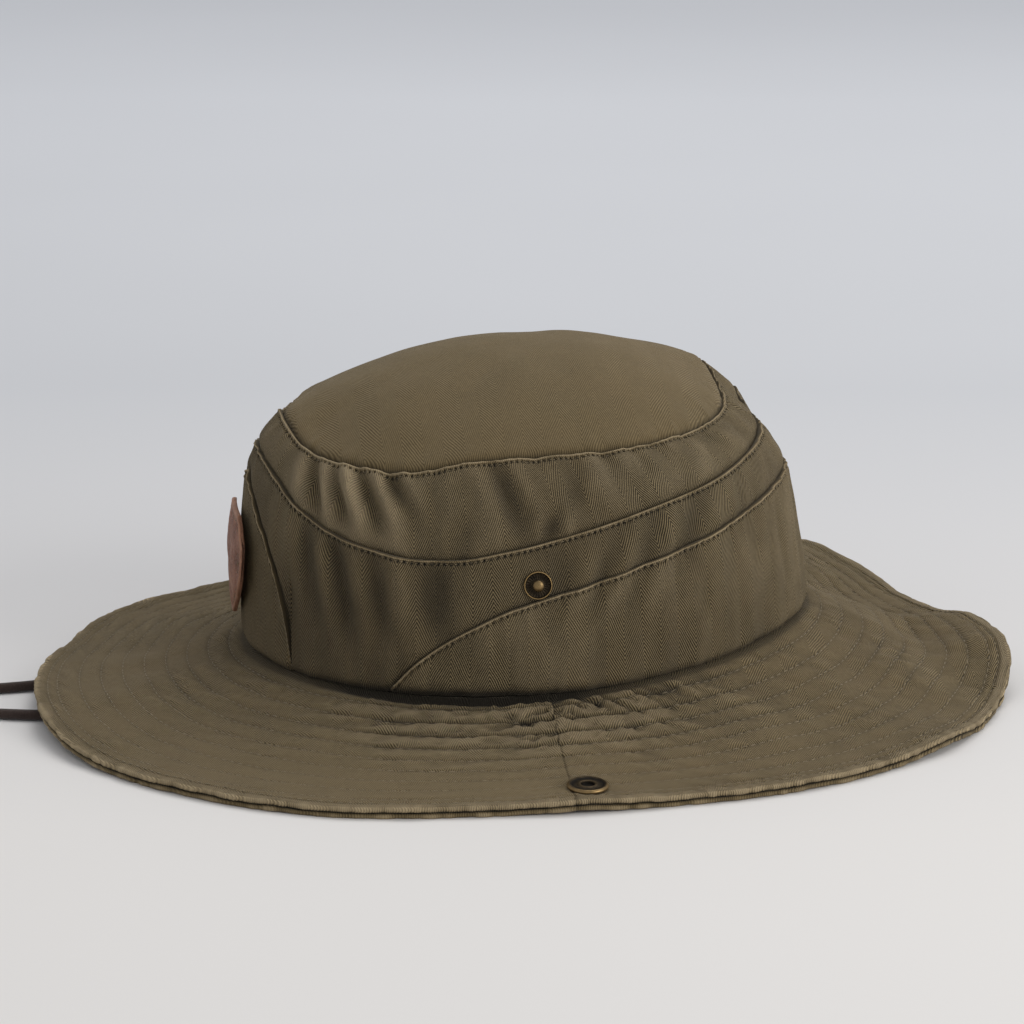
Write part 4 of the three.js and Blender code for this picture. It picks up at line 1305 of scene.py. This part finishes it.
def ply_wear_and_shade(turn, reach, width, margin, around_seam, relief, edge_noise):
    """Where a ply's seen face is rubbed light or painted lit, above 0, and where it is painted with shade,
    below 0.
    """
    swell, tip = crease_swell(turn), at_back_tip(turn)
    wear_and_shade = np.zeros(reach.shape)
    # Painted shade along the sunk rows of quilting.
    for row in quilt_reaches:
        wear_and_shade -= 0.28 * quilt_strength(turn, reach) * bell((reach - row) * brim_width, 0.6)
    # Painted shade in the crease along the crown.
    dark = (0.6 + 2.3 * swell) * bell(np.maximum(reach, 0) * width, 1 + 2.4 * swell)
    # A faint dark line along the side seam, and painted shade over the brim away from the wearer's left.
    dark = dark + 0.08 * bell(around_seam, 0.4) + 0.3 * (1 - near_turn(turn, 258, 38))
    # Painted light on the raised quilting and painted shade in its hollows, strongest where the brim folds
    # by the crown.
    folded = bell(reach - 0.15, 0.3) * near_turn(turn, 264, 34)
    wear_and_shade += (0.5 + 0.6 * folded) * np.clip(relief, -0.9, 0.6) - dark
    # Painted shade in the groove of the edge stitching; the band along the edge is rubbed light.
    groove = (0.1 + 0.45 * tip) * bell(margin - edge_stitch_inset, 0.6)
    return wear_and_shade + (0.95 + 1.1 * tip + 0.45 * edge_noise) * bell(margin, 2.8 + 1.2 * tip) - groove


def ply_piece(node, start, end, top_ply):
    """Half of one ply, with its outer edge turned under. The ply's seen face is the quilted one."""
    turns = wall_turns(start, end, top_ply_column_step if top_ply else under_ply_column_step)
    turn, reach = np.broadcast_arrays(turns[:, None], quilt_grid[None, :])
    width = (brim_width * read_turns(brim_rows, 1, turns))[:, None]
    margin = (1 - reach) * width
    around_seam = np.minimum(turn - start, end - turn) * np.radians(1) * (mean_radius + reach * width)
    seen_depth = 0 if top_ply else brim_stack
    hidden_depth = brim_ply if top_ply else brim_ply + brim_ply_gap
    face = 1 if top_ply else -1
    base = brim_at(turn, reach)
    base[..., 2] += brim_wave(turn, reach)
    seed, depth = (81, top_quilt_depth) if top_ply else (87, under_quilt_depth)
    relief = quilt_relief(turn, reach, seed, depth) * (1 - near_socket(base))
    relief = relief - 0.07 * bell(around_seam, 0.6) + 0.05 * bell(around_seam - 1.8, 1.0)
    seen = base.copy()
    seen[..., 2] += face * relief - seen_depth
    last_row = len(quilt_grid) - 1
    hidden = base[:, np.unique([*range(0, len(quilt_grid), hidden_row_every), last_row])].copy()
    hidden[..., 2] -= hidden_depth + (0.08 if top_ply else -0.08)
    roll, swing, edge_noise = ply_edge(base, turn, len(turns), top_ply, face, seen_depth + hidden_depth)
    section = np.concatenate([seen, roll, hidden[:, ::-1]], 1)
    section[..., 2] = np.maximum(section[..., 2], lowest_cloth)
    weave = ply_weave(section, turn, reach, margin, top_ply)
    # The turned edge is rubbed light on its outer side.
    rubbed_and_painted_shading = (0.9 if top_ply else 0.25) * np.cos(swing - 0.5) + 0.6 * edge_noise
    # Painted shade in the gap between the two plies.
    rubbed_and_painted_shading = rubbed_and_painted_shading - 1.5 * bell(swing + 1.4, 0.6)
    seen_wear_and_shade = ply_wear_and_shade(turn, reach, width, margin, around_seam, relief, edge_noise)
    wear_and_shade = np.concatenate([seen_wear_and_shade, rubbed_and_painted_shading, np.zeros(hidden.shape[:2])], 1)
    add_skin(node + "_cloth", section, node, cloth, weave, wear_and_shade, flip=top_ply)
    directions = np.zeros_like(seen)
    directions[..., 2] = face
    stitch_rows = np.append(quilt_reaches, 1 - edge_stitch_inset / brim_width)
    columns = [int(np.argmin(np.abs(quilt_grid - row))) for row in stitch_rows]
    return [(seen[:, k], directions[:, k]) for k in columns]


top_lines = []
under_lines = []
halves = [("front", brim_seam_turn, 360 - brim_seam_turn), ("back", -brim_seam_turn, brim_seam_turn)]
for half, start, end in halves:
    top_lines += ply_piece(f"brim_top_{half}", start, end, True)
    under_lines += ply_piece(f"brim_under_{half}", start, end, False)
stitch_piece("brim_stitching_top", top_lines, quilt_stitch_pitch, quilt_stitch_length)
stitch_piece("brim_stitching_under", under_lines, quilt_stitch_pitch, quilt_stitch_length, sides=4, rings=3)


# The press studs.
def turned_piece(node, outline, spot, direction, ribs=None):
    """A turned brass piece. Each row of outline is radius, height and how rubbed it is, below 0 painted
    dark with shade.
    """
    rows = np.array(outline, float)
    angle = ring_angles(turned_sides)
    radius, height, wear_and_shade = (np.repeat(rows[None, :, k], turned_sides, 0) for k in range(3))
    if ribs:
        low, high, count, depth = ribs
        within = np.clip((radius - low) / 0.3, 0, 1) * np.clip((high - radius) / 0.3, 0, 1)
        height = height + depth * within * (height > 0) * np.cos(count * angle)[:, None]
    up = unit(np.asarray(direction, float))
    side = unit(np.cross(up, [0.3, 0.9, 0.1]))
    ring = np.cos(angle)[:, None] * side + np.sin(angle)[:, None] * np.cross(up, side)
    points = spot + ring[:, None] * radius[..., None] + up * height[..., None]
    add_skin(node + "_brass", points, node, brass, wear_and_shade=wear_and_shade, closed_round=True)


def rounded(rows):
    """Eases each corner of an outline with two points close to it."""
    eased = [rows[0]]
    for before, here, after in zip(rows[:-2], rows[1:-1], rows[2:]):
        for other in (before, after):
            gap = math.hypot(other[0] - here[0], other[1] - here[1])
            step = min(0.16, gap * 0.4) / max(gap, 1e-6)
            eased.append((lerp(here[0], other[0], step), lerp(here[1], other[1], step), here[2]))
    return eased + [rows[-1]]


def stud_outline():
    seat = snap_clearance
    back = -cloth_thickness - snap_clearance
    washer = stud_washer_diameter / 2
    washer_back = back - stud_washer_thickness
    edge = stud_diameter / 2
    top = seat + stud_rim_height
    dish = seat + 0.45
    ball = stud_ball_diameter / 2
    peak = seat + stud_ball_height
    return rounded([
        (0, washer_back, 0.2), (washer, washer_back, 0.3), (washer, back, 0.2), (1.5, back, 0.1),
        (1.5, seat, 0.1), (edge, seat, 0.1), (edge, seat + 0.7, 0.2), (edge - 0.1, top - 0.12, 0.4),
        (edge - 0.3, top, 0.65), (edge - 0.5, top - 0.1, 0.4), (edge - 0.65, top - 0.5, 0.0),
        (edge - 1.0, dish + 0.12, 0.0), (ball + 0.5, dish, 0.0), (ball * 0.9, dish + 0.1, 0.0),
        (ball * 0.86, seat + 1.1, 0.1), (ball, seat + 1.7, 0.15), (ball * 0.93, seat + 2.2, 0.2),
        (ball * 0.72, peak - 0.36, 0.4), (ball * 0.4, peak - 0.08, 0.45), (0, peak, 0.45),
    ])


def socket_outline():
    seat = snap_clearance - 0.15
    back = -brim_stack - snap_clearance
    cap = socket_cap_diameter / 2
    cap_back = back - socket_cap_thickness
    edge = socket_diameter / 2
    top = seat + socket_rim_height
    hole = socket_hole_diameter / 2
    return rounded([
        (0, cap_back, 0.2), (cap - 0.5, cap_back, 0.3), (cap, back, 0.3), (1.8, back, 0.1),
        (1.8, seat, 0.1), (edge - 0.2, seat, 0.2), (edge, seat + 0.2, 0.3), (edge - 0.05, seat + 0.8, 0.5),
        # Rows below 0, at the dish's inner foot and in the hole, are painted near black as shade; the hole
        # is shallow and its floor painted dark as if deep.
        (edge - 0.4, top - 0.2, 0.4), (edge - 0.8, top - 0.05, 0.2), (edge - 1.2, top - 0.2, 0.0),
        (edge - 1.7, top - 0.5, -0.1), (hole + 1.3, top - 0.5, 0.0), (hole + 0.8, top - 0.15, 0.1),
        (hole + 0.3, top - 0.15, 0.15), (hole, top - 0.4, 0.0), (hole, seat + 0.25, -0.2),
        (hole - 0.35, seat + 0.1, -0.3), (0, seat + 0.1, -0.3),
    ])


for side_name, on_left in (("left", True), ("right", False)):
    turn = np.array([360 - stud_turn if on_left else stud_turn])
    height = np.array([stud_height])
    middle, outward = crown_at(turn, height)[0], crown_normal(turn, height)[0]
    turned_piece(f"snap_stud_{side_name}", stud_outline(), middle, outward, ribs=(2.2, 4.0, 24, 0.16))
    turn = np.array([360 - socket_turn if on_left else socket_turn])
    reach = np.array([socket_reach])
    middle, upward = brim_at(turn, reach)[0], -normal_of(brim_at, turn, reach)[0]
    turned_piece(f"snap_socket_{side_name}", socket_outline(), middle, upward)


# The leather patch, bare, with one row of stitches near its edge.
def patch_surface(column, up, lift):
    half = read_rows(patch_rows, 1, up)
    side = column * half * patch_width / 2
    turn = 180 + np.degrees(np.arcsin(side / (crown_base_width / 2)))
    low = crown_at(turn, np.zeros_like(turn))[..., 2]
    high = crown_at(turn, np.ones_like(turn))[..., 2]
    height = (patch_bottom + up * patch_height) / (high - low)
    normal = crown_normal(turn, height)
    bow = 0.9 * (1 - column**2) * np.sin(math.pi * up)
    stand_off = patch_clearance + patch_edge_lift * (column * half) ** 2 + lift + bow
    return crown_at(turn, height) + normal * stand_off[..., None], normal


def add_patch():
    ease = np.array([0, 0.006, 0.018, 0.04])
    columns = np.concatenate([-1 + 2 * ease, np.linspace(-0.85, 0.85, 41), 1 - 2 * ease[::-1]])
    ups = np.concatenate([ease, np.linspace(0.07, 0.93, 45), 1 - ease[::-1]])
    column, up = np.meshgrid(columns, ups, indexing="ij")
    half_width = read_rows(patch_rows, 1, up) * patch_width / 2
    inset = np.minimum((1 - np.abs(column)) * half_width, np.minimum(up, 1 - up) * patch_height)
    soft = 0.55 * np.sqrt(np.clip(1 - (1 - np.clip(inset / 0.9, 0, 1)) ** 2, 0, 1))
    groove = 0.3 * bell(inset - patch_stitch_inset, 0.45)
    flat_points, _ = patch_surface(column, up, np.zeros_like(up))
    wavy = 0.35 * noise(flat_points, 9, 101) + 0.08 * noise(flat_points, 2.2, 103)
    outer, _ = patch_surface(column, up, patch_thickness - 0.55 + soft - groove + wavy)
    inner, _ = patch_surface(column, up, 0.25 * (1 - soft / 0.55) + wavy * 0.5 + patch_thickness - 1.7)
    section = np.concatenate([outer, inner[:, ::-1]], 1)
    wear_and_shade = 0.9 * bell(inset - 0.5, 0.7) + 0.3 * np.clip(noise(flat_points, 4, 105), 0, 1)
    wear_and_shade = np.concatenate([wear_and_shade, wear_and_shade[:, ::-1]], 1)
    add_skin("front_patch_leather", section, "front_patch", patch_leather, wear_and_shade=wear_and_shade)


def stitch_patch():
    """A row of stitches up both sides of the patch and across its top."""
    lift = patch_thickness - 0.2
    ups = np.linspace(0.1, 0.94, 60)
    reach = 1 - patch_stitch_inset / (read_rows(patch_rows, 1, ups) * patch_width / 2)
    across = np.linspace(-reach[-1], reach[-1], 30)
    rows = [(reach, ups), (-reach, ups), (across, np.full_like(across, ups[-1]))]
    lines = [patch_surface(column, up, np.full_like(up, lift)) for column, up in rows]
    stitch_piece("patch_stitching", lines, patch_stitch_pitch, patch_stitch_length)


add_patch()
stitch_patch()


# The stage and the light.
def floor_material():
    """A pale floor with painted shading, whose tone changes with the way into the picture and across it."""
    n = Nodes("floor")
    x, y, _ = n.parts(n.position())
    way = n.plus(n.times(y, 0.4), n.scaled(x, 0.06, 0.08), clamp=True)
    cloudy = n.ramp(n.noise(n.position(), 2.2, 2), [(0.3, 0.6), (0.7, 1)])
    base = n.mix(0.04, n.ramp(way, floor_colours_and_painted_shade), cloudy)
    return n.finish({"Base Color": base, "Roughness": 0.9, "Specular IOR Level": 0.1})


def add_floor():
    mesh = bpy.data.meshes.new("floor")
    corners = [(x * floor_reach, y * floor_reach, 0.0) for x, y in ((-1, -1), (1, -1), (1, 1), (-1, 1))]
    mesh.from_pydata(corners, [], [(0, 1, 2, 3)])
    mesh.materials.append(floor_material())
    floor = bpy.data.objects.new("floor", mesh)
    bpy.context.scene.collection.objects.link(floor)


def add_light(name, location, target, size):
    data = bpy.data.lights.new(name, "AREA")
    data.shape = "RECTANGLE"
    data.size, data.size_y = size
    data.energy = light_power
    data.color = light_colour
    aim_at(bpy.data.objects.new(name, data), location, target)


def add_world():
    world = bpy.data.worlds.new("world")
    world.use_nodes = True
    background = world.node_tree.nodes["Background"]
    background.inputs["Color"].default_value = world_colour
    background.inputs["Strength"].default_value = world_strength
    bpy.context.scene.world = world


add_floor()
for row in light_rows:
    add_light(*row)
add_world()
bpy.context.scene.view_settings.view_transform = "Standard"
